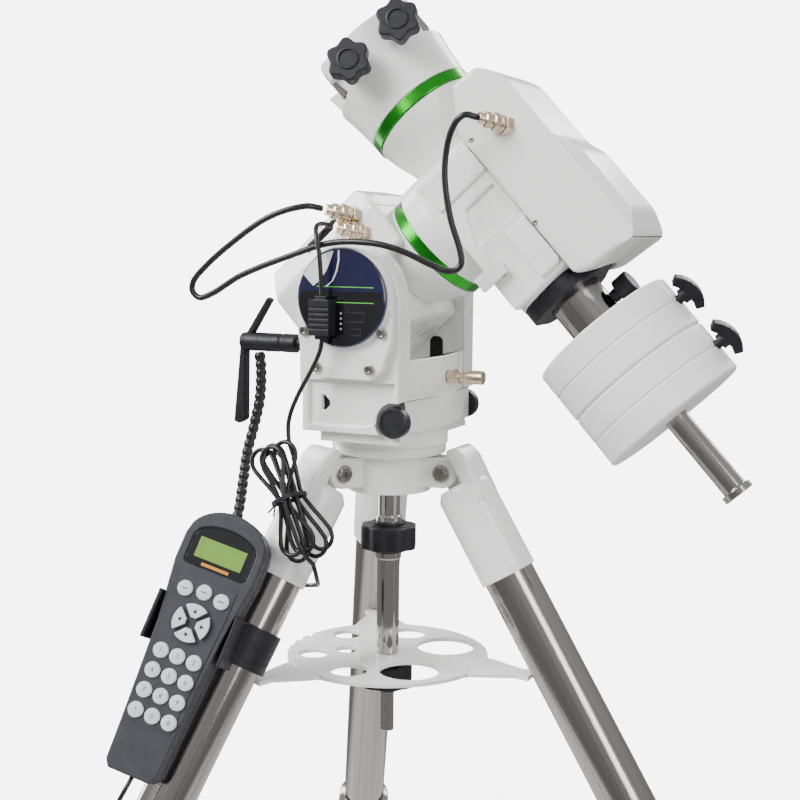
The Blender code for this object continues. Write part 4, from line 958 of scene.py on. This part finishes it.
def printed(name, sign, size, frame, body):
    """One printed figure on a key, lying on the frame's x and y."""
    text = bpy.data.curves.new(name, "FONT")
    text.body = sign
    text.size = size * MM
    text.extrude = SIGN_RAISE * MM
    text.resolution_u = 2
    text.align_x = "CENTER"
    text.align_y = "CENTER"
    holder = in_scene(name, text)
    graph = bpy.context.evaluated_depsgraph_get()
    mesh = bpy.data.meshes.new_from_object(holder.evaluated_get(graph))
    bpy.data.objects.remove(holder, do_unlink=True)
    mesh.transform(frame)
    mesh.materials.clear()
    mesh.materials.append(INK)
    made = in_scene(name, mesh)
    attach(made, body)


def scaled(outline, across, along, middle=0):
    """An outline made larger or smaller about a place on its y axis."""
    return [(x * across, middle + (y - middle) * along) for x, y in outline]


def rounded_top(half, low, rise, start, count):
    """The bowed upper end of an outline, from right to left."""
    return [(x * half, low + y * rise) for x, y in arc(0, 0, 1, start, 180 - start, count)]


def build_handset_case():
    frame = handset_frame()
    face = frame @ FACING
    side = [(18, -100), (22, -94), (23.5, -60), (28, 20), (34.5, 70)]
    outline = [(-18, -100), *side, (34.5, 92), *rounded_top(34.5, 92, 27, 20, 8), (-34.5, 92)]
    outline += [(-x, y) for x, y in side[:0:-1]]
    lip = [(-25, 70), (25, 70), (27, 72), (27, 93)]
    lip += rounded_top(27, 93, 12, 25, 6) + [(-27, 93), (-27, 72)]
    case = prism(outline, -30, 0, face)
    piece("handset_case", case, GREY, [], [prism(lip, -1, 10, face)], pivot=frame, edge=1.4)
    for name, shape, look, edge in (
            ("seam", prism(scaled(outline, 1.004, 1.002), -16.6, -16, face), PAINTED_SHADE_AND_SEAM, 0),
            ("bezel", prism(scaled(lip, 0.97, 0.97, 81.5), -1.4, -0.4, face), PANEL, 0.3),
            ("screen", block((-20.5, 20.5), (76.5, 93.5), (-1, 0.2), face), SCREEN, 0.2),
            ("strip", block((-12, 12), (71.2, 73.8), (-1, -0.1), face), AMBER, 0.2)):
        detail(f"handset_{name}", shape, look, "leg_near", pivot=frame, edge=edge)


def build_key(name, x, y, sign, frame):
    """One round key, with a printed sign or, without one, a short bar."""
    place = frame @ FACING @ move(x, y, 0)
    cap = turned([(0, 0.4), (6.4, 0.4), (6.4, 1.6), (5.9, 2.3), (4, 2.7), (0, 2.8)], place, 12)
    detail(name, cap, KEYS, "leg_near", pivot=frame, edge=0)
    if sign is None:
        mark = block((-2.4, 2.4), (-0.4, 0.4), (2, 2.92), place)
        detail(f"{name}_mark", mark, INK, "leg_near", pivot=frame, edge=0)
    else:
        printed(f"{name}_sign", sign, 5.6, place @ move(0, 0, 2.7), "leg_near")


def build_keypad():
    frame = handset_frame()
    outline = [(-18.5, -60), (18.5, -60), (25, 40), (25, 61), (-25, 61), (-25, 40)]
    mat = detail("keypad_look", prism(outline, GAP, 0.6, frame @ FACING), GREY, BODY_OF["keypad"],
                 pivot=frame, edge=0)
    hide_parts("keypad")
    for column in (-1, 0, 1):
        build_key(f"key_top_{column + 1}", column * 16, 52 - 2 * abs(column), None, frame)
        for row in range(4):
            sign = "123456789*0#"[row * 3 + column + 1]
            build_key(f"key_{row}_{column + 1}", column * 14.5, -2 - row * 16.5, sign, frame)


def build_arrow_keys():
    key_frame = handset_frame() @ FACING @ move(0, 26, 0)
    for index, name in enumerate(("right", "up", "left", "down")):
        centre = 90 * index
        outline = arc(0, 0, 15.5, centre - 38, centre + 38, 6)
        outline += arc(0, 0, 4.5, centre + 25, centre - 25, 2)
        piece(f"arrow_key_{name}", prism(outline, 1.8, 4, key_frame), KEYS, pivot=key_frame, edge=0.6)
        tip = key_frame @ spin(radians(centre)) @ move(9.8, 0, 0)
        arrow = prism([(-1.4, -1.9), (1.8, 0), (-1.4, 1.9)], 3.5, 4.12, tip)
        detail(f"arrow_mark_{name}", arrow, INK, BODY_OF[f"arrow_key_{name}"], pivot=key_frame, edge=0)


def build_handset_holder():
    frame = handset_frame()
    band = sleeve(LEG_TUBE_R + GAP, 26.2, -204, -169, leg_frame("near"), 24)
    back = block((-35.5, -30.3), (-34, 34), (2, 43), frame)
    sides = [block((-35.5, 3.5), y, (2, 43), frame) for y in ((-35, -32), (32, 35))]
    piece("handset_holder", band, BLACK, [back, joined(sides)])


DEC_CABLE = (
    (-26.2, -77.2, 201.4), (-36, -88, 203), (-62, -96, 195.5), (-90.5, -98, 179), (-129, -98, 150),
    (-140.5, -97, 134), (-131, -96.5, 126), (-91.5, -96.5, 146), (-44, -97, 163), (-8, -97.2, 173.5),
    (28, -97, 174), (53, -93, 168.2), (75, -84, 157.3), (87, -77, 152.3), (95.5, -74, 156),
    (96, -73.5, 166), (87, -73.5, 193), (81.5, -73.5, 223), (82.5, -74, 246), (88.5, -76, 264),
    (98, -76.5, 273.5), (106.6, -70.6, 272.2),
)
LEAD_UPPER = (
    (-16.6, -77.4, 186.8), (-21.2, -85, 189), (-21.8, -95, 186.5), (-18, -102, 178), (-14.5, -103.8, 165),
    (-13.5, -103, 148), (-13, -101.5, 131.5),
)
LEAD_LOWER = (
    (-13, -101.5, 95.5), (-15, -101.5, 86), (-22, -101, 72), (-36.5, -100, 48), (-44.5, -100, 28),
    (-44, -101, 11), (-38.8, -103, -1),
)
HANK_TOP = (-63, -105, 12)
HANK_BOTTOM = (-12, -119, -84)
HANK_FOLD_R = 10.5
HANK_STRAND = 4.3
# Each turn's depth in the hank, its place across the tie, and the middles of its bottom and top folds
HANK_TURNS = (
    (8.6, -4, (-11, -38), (8, 34)), (4.3, 0.5, (-6, -42), (3, 38)), (0, -3, (9, -40), (-11, 35)),
    (-4.3, 2.5, (-1, -36), (9, 37)), (-8.6, 0, (7, -35), (-3, 34)),
)
HANK_EXIT = ((-3.5, 0, -13), (-2, -25, -13.6), (-1.6, -42, -12.8), (-0.8, -52, -6.7))
TAIL = (
    (-10.6, -119.4, -86.8), (-9.5, -116, -98.5), (-16.5, -101, -108), (-36, -75, -117), (-60, -71, -123),
    (-78.3, -83, -142), (-91.1, -105.5, -181), (-104, -128, -223), (-116.9, -150, -265),
    (-123.5, -160, -283.5), (-134, -168, -290), (-142.5, -181, -290), (-148, -202.5, -285),
    (-138.5, -222.5, -280), (-125.5, -234.5, -270), (-117.5, -235, -257), (-114, -227.4, -245.4),
)
LANYARD = (
    (-132, 0, 72.3), (-131, 1, 55), (-133, 2, 30), (-138, 0, 5), (-142, -6, -20), (-141, -15, -45),
    (-139, -26, -70), (-140, -36, -90),
)


def cap_screw(name, frame, body, radius=4.2, height=3):
    """A socket-head cap screw whose head stands on z = 0 of its frame."""
    head = turned([(0, -1), (radius, -1), (radius, height - 0.5), (radius - 0.5, height), (0, height)],
                  frame, 16)
    socket = rod(radius * 0.52, height * 0.35, height + 2, frame, HEXAGON)
    detail(name, head, GUNMETAL, body, cut=[socket], pivot=frame, edge=0.3)


def connector(name, frame, body):
    """A screwed aviation plug in its hexagonal socket nut, up to the clamp where the cable enters."""
    nut = rod(8.3, -3.5, 2.4, frame, HEXAGON)
    barrel = turned([(0, 0), (6, 0), (6, 4), (7.4, 4.6), (7.4, 6.2), (6.6, 6.8), (6.6, 7.8), (7.6, 8.4),
                     (7.6, 12.4), (7, 13), (5.8, 13.4), (5.8, 15.2), (6.4, 15.6), (6.4, 19.6), (5, 20.6),
                     (4.6, 25.8), (0, 26.2)], frame, 14)
    detail(f"{name}_nut", nut, BRASS, body, pivot=frame, edge=0.5)
    detail(f"{name}_barrel", barrel, BRASS, body, pivot=frame, edge=0.3)
    for index, (low, high, radius) in enumerate(((8.8, 12, 7.9), (15.9, 19.3, 6.7))):
        knurl = prism(lobed(radius, 0.5, 26, 52), low, high, frame)
        detail(f"{name}_knurl_{index}", knurl, BRASS, body, pivot=frame, edge=0)


def build_label_disc(disc, top):
    plate = turned([(0, 82), (LABEL_R, 82), (LABEL_R, top - 1), (LABEL_R - 1, top), (0, top)], disc, 40)
    detail("label_disc", plate, NAVY, "base", pivot=disc, edge=0)
    rim = sleeve(LABEL_R - 0.5, LABEL_R + 1.2, 87.8, 90.5, disc, 40)
    detail("label_rim", rim, WHITE, "base", pivot=disc, edge=0.3)


def build_label():
    """The control panel's disc on the near trunnion: plain shapes only."""
    disc = MOUNT @ move(0, 0, ALTITUDE_AXIS_Z) @ ALONG_MINUS_Y
    top = 94.2
    build_label_disc(disc, top)
    face = disc @ move(0, 0, top)
    lower = arc(0, 0, LABEL_R - 1.5, 184, 356, 20) + [(LABEL_R - 4, 5.2), (-LABEL_R + 4, 5.2)]
    sweep = arc(0, 0, 38.5, 100, 152, 10)
    sweep += [(-25, 9.2), (-18.5, 14), (-13.2, 21.5), (-9.2, 30)]
    ribbon = [(-1.2, 38.3), (-1.2, 30), (-3, 21.5), (-6.8, 13.5), (-12, 9.2)]
    ribbon += [(x - 1.3, y + 0.2) for x, y in reversed(ribbon)]
    prints = [("lower", prism(lower, PRINT_BACK, 0.12, face), PANEL),
              ("sweep", prism(sweep, PRINT_BACK, 0.18, face), PALE),
              ("ribbon", prism(ribbon, PRINT_BACK, 0.2, face), PALE)]
    for index, (y, left) in enumerate(((8.5, -22), (-4, -10))):
        prints.append((f"line_{index}", block((left, 30), (y, y + 0.7), (PRINT_BACK, 0.22), face), LIME))
    for name, shape, look in prints:
        detail(f"label_{name}", shape, look, "base", pivot=face, edge=0)
    for index, (y, wide, tall) in enumerate(((-15.5, 18, 8.5), (-27.5, 10, 6))):
        middle = face @ move(14, y, 0)
        rim = block((-wide / 2, wide / 2), (-tall / 2, tall / 2), (PRINT_BACK, 0.6), middle)
        hole = block((1 - wide / 2, wide / 2 - 1), (1 - tall / 2, tall / 2 - 1), (0.1, 2), middle)
        detail(f"label_port_{index}", rim, BLACK, "base", cut=[hole], pivot=face, edge=0.1)
    for index in range(4):
        lamp = rod(0.9, PRINT_BACK, 0.4, face @ move(0.5, -12.5 - 4.2 * index, 0), 8)
        detail(f"label_lamp_{index}", lamp, PALE, "base", pivot=face, edge=0)


def build_screws():
    near = MOUNT @ move(0, -ARM_OUT - GAP - COVER_THICK, 0) @ ALONG_MINUS_Y
    for index, (x, z) in enumerate(((-36.5, 101.5), (34.5, 101.5), (-25, 71.8), (23.5, 71.8))):
        cap_screw(f"cover_screw_{index}", near @ move(x, z, 0), "base")
    for index, (x, z) in enumerate(((27, -55), (30, 30))):
        frame = DEC @ move(x, -50, z) @ ALONG_MINUS_Y
        cap_screw(f"dec_cover_screw_{index}", frame, "dec_unit", 2.4, 0.6)


def build_connectors():
    for name, place in zip(("plug_motor", "plug_lead"), POLAR_SOCKETS):
        connector(name, socket_frame(POLAR, place), "polar")
    connector("plug_dec", socket_frame(DEC, DEC_SOCKET), "dec_unit")


def tube(name, points, radius, look, ribs=None, steps=14):
    """A closed round tube along close points; ribs is (pitch, depth) of a spiral wrap."""
    bm = bmesh.new()
    loops = []
    across = (points[1] - points[0]).orthogonal().normalized()
    travelled = 0
    for i, point in enumerate(points):
        before = points[max(i - 1, 0)]
        after = points[min(i + 1, len(points) - 1)]
        along = (after - before).normalized()
        across = (across - along * across.dot(along)).normalized()
        other = along.cross(across)
        travelled += (point - before).length
        reach = radius
        if ribs is not None:
            pitch, depth = ribs
            reach -= depth * (0.5 + 0.5 * cos(2 * pi * travelled / (pitch * MM))) ** 2
        corners = []
        for k in range(steps):
            angle = 2 * pi * k / steps
            corners.append(bm.verts.new(point + (across * cos(angle) + other * sin(angle)) * (reach * MM)))
        loops.append(corners)
    for low, high in zip(loops, loops[1:]):
        for k in range(steps):
            j = (k + 1) % steps
            bm.faces.new((low[k], low[j], high[j], high[k]))
    bm.faces.new(loops[0])
    bm.faces.new(loops[-1])
    made = new_object(name, bm)
    made.data.materials.append(look)
    made.data.shade_smooth()
    return made


def declared(node):
    """Hides the CAD node that a cable stands for."""
    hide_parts(node)


def build_free_cable(node, route, radius, count, ribs=None):
    """One cable drawn as a tube along its CAD route, in place of its CAD node."""
    points = smooth_route([at(MOUNT, p) for p in route], count)
    made = tube(f"{node}_look", points, radius, CABLE, ribs)
    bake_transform(made)
    declared(node)


def hank_frame():
    """At the middle of the hank: x across it, y up along it, z through its depth."""
    top, bottom = at(MOUNT, HANK_TOP), at(MOUNT, HANK_BOTTOM)
    along = (top - bottom).normalized()
    facing = (Vector((0, -1, 0)) + along * along.y).normalized()
    across = facing.cross(along)
    frame = Matrix((across, along, across.cross(along))).transposed().to_4x4()
    frame.translation = (top + bottom) / 2
    return frame


def fold(middle, radius, before, after, depth):
    """A cable's fold round a middle, turning left, from the strand out of one point to that into another."""
    ends = []
    for point, sense in ((before, 1), (after, -1)):
        x, y = point[0] - middle[0], point[1] - middle[1]
        ends.append(atan2(y, x) + sense * acos(radius / hypot(x, y)))
    start, end = ends
    while end < start:
        end += 2 * pi
    points = []
    for k in range(7):
        angle = start + (end - start) * k / 6
        points.append(Vector((middle[0] + radius * cos(angle), middle[1] + radius * sin(angle), depth)))
    return points


def hank_route(start, end):
    """The hank's points in its own frame, from the lead above it to the lead below it."""
    route = [start, Vector((-10.5, 15, 7))]
    for index, (depth, tie, bottom, top) in enumerate(HANK_TURNS):
        down = (tie - HANK_STRAND, 0)
        up = (tie + HANK_STRAND, 0)
        follow = HANK_EXIT[0]
        if index + 1 < len(HANK_TURNS):
            follow = (HANK_TURNS[index + 1][1] - HANK_STRAND, 0)
        route.append(Vector((*down, depth)))
        route += fold(bottom, HANK_FOLD_R, down, up, depth)
        route.append(Vector((*up, depth)))
        route += fold(top, HANK_FOLD_R, up, follow, depth)
    return route + [Vector(p) for p in HANK_EXIT] + [end]


def build_hank():
    """The spare lead, folded to and fro through a twist tie, with the folds fanned out at both ends."""
    frame = hank_frame()
    ends = [frame.inverted() @ at(MOUNT, p) / MM for p in (LEAD_LOWER[-1], TAIL[0])]
    points = smooth_route([at(frame, p) for p in hank_route(*ends)], 560)
    made = tube("hank_look", points, LEAD_R, CABLE, steps=10)
    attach(made, "tripod")
    declared("hank")


def build_hank_tie():
    outline = [(-12, -15), (-6, -16.5), (4, -16.5), (11, -11), (12, 7), (8, 11.5), (-11, 11.5), (-13, 6)]
    band = hank_frame() @ ALONG_MINUS_Y
    hole = prism(scaled(outline, 0.92, 0.92), -10, 10, band)
    detail("hank_tie", prism(outline, -1.8, 1.8, band), BLACK, "tripod", cut=[hole], edge=0.3)
    for index, turn in enumerate((radians(35), radians(70))):
        root = band @ move(11.8, -4, 0) @ Matrix.Rotation(turn, 4, "Y")
        detail(f"hank_tie_end_{index + 1}", rod(0.9, 0.8, 10, root, 6), BLACK, "tripod", pivot=root,
               edge=0.3)


def build_lanyard():
    low, above = at(MOUNT, LANYARD[-1]), at(MOUNT, LANYARD[-2])
    end = Matrix.Translation(low) @ (low - above).to_track_quat("Z", "Y").to_matrix().to_4x4()
    cap = turned([(0, -6), (5.4, -6), (5.4, 0), (3.5, 0.8), (0, 0.8)], end, 14)
    cap = detail("lanyard_end", cap, BLACK, "tripod", pivot=end, edge=0.6)
    build_free_cable("lanyard", LANYARD, LANYARD_R, 260,
                     (7.5, 1))


def build_cables():
    build_free_cable("dec_cable", DEC_CABLE, CABLE_R, 320)
    build_free_cable("lead_upper", LEAD_UPPER, LEAD_R, 60)
    build_free_cable("lead_lower", LEAD_LOWER, LEAD_R, 80)
    build_hank()
    build_hank_tie()
    build_free_cable("handset_tail", TAIL, LEAD_R, 180)
    build_lanyard()


def build_connector_block():
    x, y, z = (-22, -4), (-108, -94.5), (96, 131)
    body = block(x, y, (z[0] + 3, z[1] - 3), MOUNT)
    ends = [block((-18, -8), (-105, -97.5), z, MOUNT)]
    slots = []
    for index in range(5):
        low = 104 + index * 4.2
        slots.append(block((-23, -3), (-108.5, -107.2), (low, low + 1.6), MOUNT))
    piece("connector_block", body, BLACK, ends, [joined(slots)], edge=0.4)


def keep_inner_nodes():
    """Finishes for the CAD parts inside the castings, whose own shape is kept."""
    looks = {"ra_worm": ALLOY, "dec_worm": ALLOY, "ra_worm_wheel": BRASS, "ra_shaft": ALLOY,
             "dec_shaft": ALLOY, "ra_motor": BLACK_METAL, "dec_motor": BLACK_METAL}
    for name, look in looks.items():
        mesh = model["nodes"][name].data
        mesh.materials.clear()
        mesh.materials.append(look)


def build_camera():
    data = bpy.data.cameras.new("camera")
    data.lens = CAMERA_LENS
    data.sensor_width = CAMERA_SENSOR
    camera = in_scene("camera", data)
    back = -Vector(CAMERA_FORWARD).normalized()
    right = Vector(CAMERA_UP).cross(back).normalized()
    camera.matrix_world = Matrix.Translation(CAMERA_PLACE) @ Matrix((right, back.cross(right),
                                                                     back)).transposed().to_4x4()
    bpy.context.scene.camera = camera


def area_light(name, place, aim, size, power):
    data = bpy.data.lights.new(name, "AREA")
    data.shape = "RECTANGLE"
    data.size, data.size_y = size
    data.energy = power
    light = in_scene(name, data)
    turn = (Vector(aim) - Vector(place)).to_track_quat("-Z", "Y")
    light.matrix_world = Matrix.Translation(place) @ turn.to_matrix().to_4x4()


def build_world():
    """Plain white behind the object, and a soft sky from pale floor to bright ceiling around it."""
    world = bpy.data.worlds.new("studio")
    bpy.context.scene.world = world
    world.use_nodes = True
    tree = world.node_tree
    sky = tree.nodes["Background"]
    where = node(tree, "TexCoord").outputs["Generated"]
    parts = node(tree, "SeparateXYZ")
    link(tree, where, parts.inputs["Vector"])
    tone = blended(tree, spread(tree, parts.outputs["Z"], 0, 1, -0.3, 0.7), (0.34, 0.335, 0.33),
                   (0.8, 0.8, 0.81))
    link(tree, tone, sky.inputs["Color"])
    sky.inputs["Strength"].default_value = SKY
    plain = node(tree, "Background", {"Color": (*BACKDROP, 1), "Strength": BACKDROP_GLOW})
    ray = node(tree, "LightPath")
    mix = node(tree, "MixShader")
    link(tree, ray.outputs["Is Camera Ray"], mix.inputs["Fac"])
    link(tree, sky.outputs["Background"], mix.inputs[1])
    link(tree, plain.outputs["Background"], mix.inputs[2])
    link(tree, mix.outputs["Shader"], tree.nodes["World Output"].inputs["Surface"])


def build_floor():
    """A pale floor that fades out into the plain backdrop away from the object."""
    bm = bmesh.new()
    bmesh.ops.create_circle(bm, cap_ends=True, segments=96, radius=FLOOR_R)
    floor = new_object("floor", bm)
    made = bpy.data.materials.new("floor")
    made.use_nodes = True
    tree = made.node_tree
    shader = tree.nodes["Principled BSDF"]
    shader.inputs["Base Color"].default_value = (0.62, 0.62, 0.62, 1)
    shader.inputs["Roughness"].default_value = 0.6
    far = node(tree, "BsdfTransparent")
    centre_offset = object_place(tree)
    reach = node(tree, "VectorMath")
    reach.operation = "LENGTH"
    link(tree, centre_offset, reach.inputs[0])
    mix = node(tree, "MixShader")
    link(tree, spread(tree, reach.outputs["Value"], 0, 1, 0.6, 1.05), mix.inputs["Fac"])
    link(tree, shader.outputs["BSDF"], mix.inputs[1])
    link(tree, far.outputs["BSDF"], mix.inputs[2])
    link(tree, mix.outputs["Shader"], tree.nodes["Material Output"].inputs["Surface"])
    floor.data.materials.append(made)


def build_studio():
    build_world()
    build_floor()
    for name, place, height, size, power in (
            ("key", (-1.5, -1.9, 2.5), 0.75, (1.6, 1.6), 150),
            ("fill", (2.2, -1.3, 1.4), 0.75, (0.9, 1.8), 34),
            ("back", (0.6, 2.2, 2.2), 0.8, (1.6, 1.0), 50), ("side", (-2.1, 0.5, 1.1), 0.7, (0.7, 1.9), 36)):
        area_light(name, place, (0, 0, height), size, power)


def main():
    build_camera()
    build_cables()
    build_connectors()
    build_connector_block()
    build_tripod_head()
    build_rod()
    build_tray()
    build_tray_knob()
    for name in LEG_AZIMUTHS:
        frame = leg_frame(name)
        build_leg_socket(name, frame)
        build_leg_tube(name, frame)
        build_lower_leg(name, frame)
    build_azimuth_base()
    build_fork_cover()
    build_label()
    build_screws()
    build_azimuth_knobs()
    build_altitude_controls()
    build_polar_housing()
    build_dec_housing()
    build_dec_cover()
    build_dec_ring()
    build_clutch_lever()
    build_counterweight_shaft()
    for name, low in zip(("upper", "lower"), WEIGHT_TOP):
        build_counterweight(name, low)
    build_saddle()
    build_saddle_jaw()
    for name, side in (("lower", -1), ("upper", 1)):
        build_saddle_knob(name, saddle_knob_frame(side))
    build_handset_case()
    build_keypad()
    build_arrow_keys()
    build_handset_holder()
    keep_inner_nodes()
    build_studio()


main()
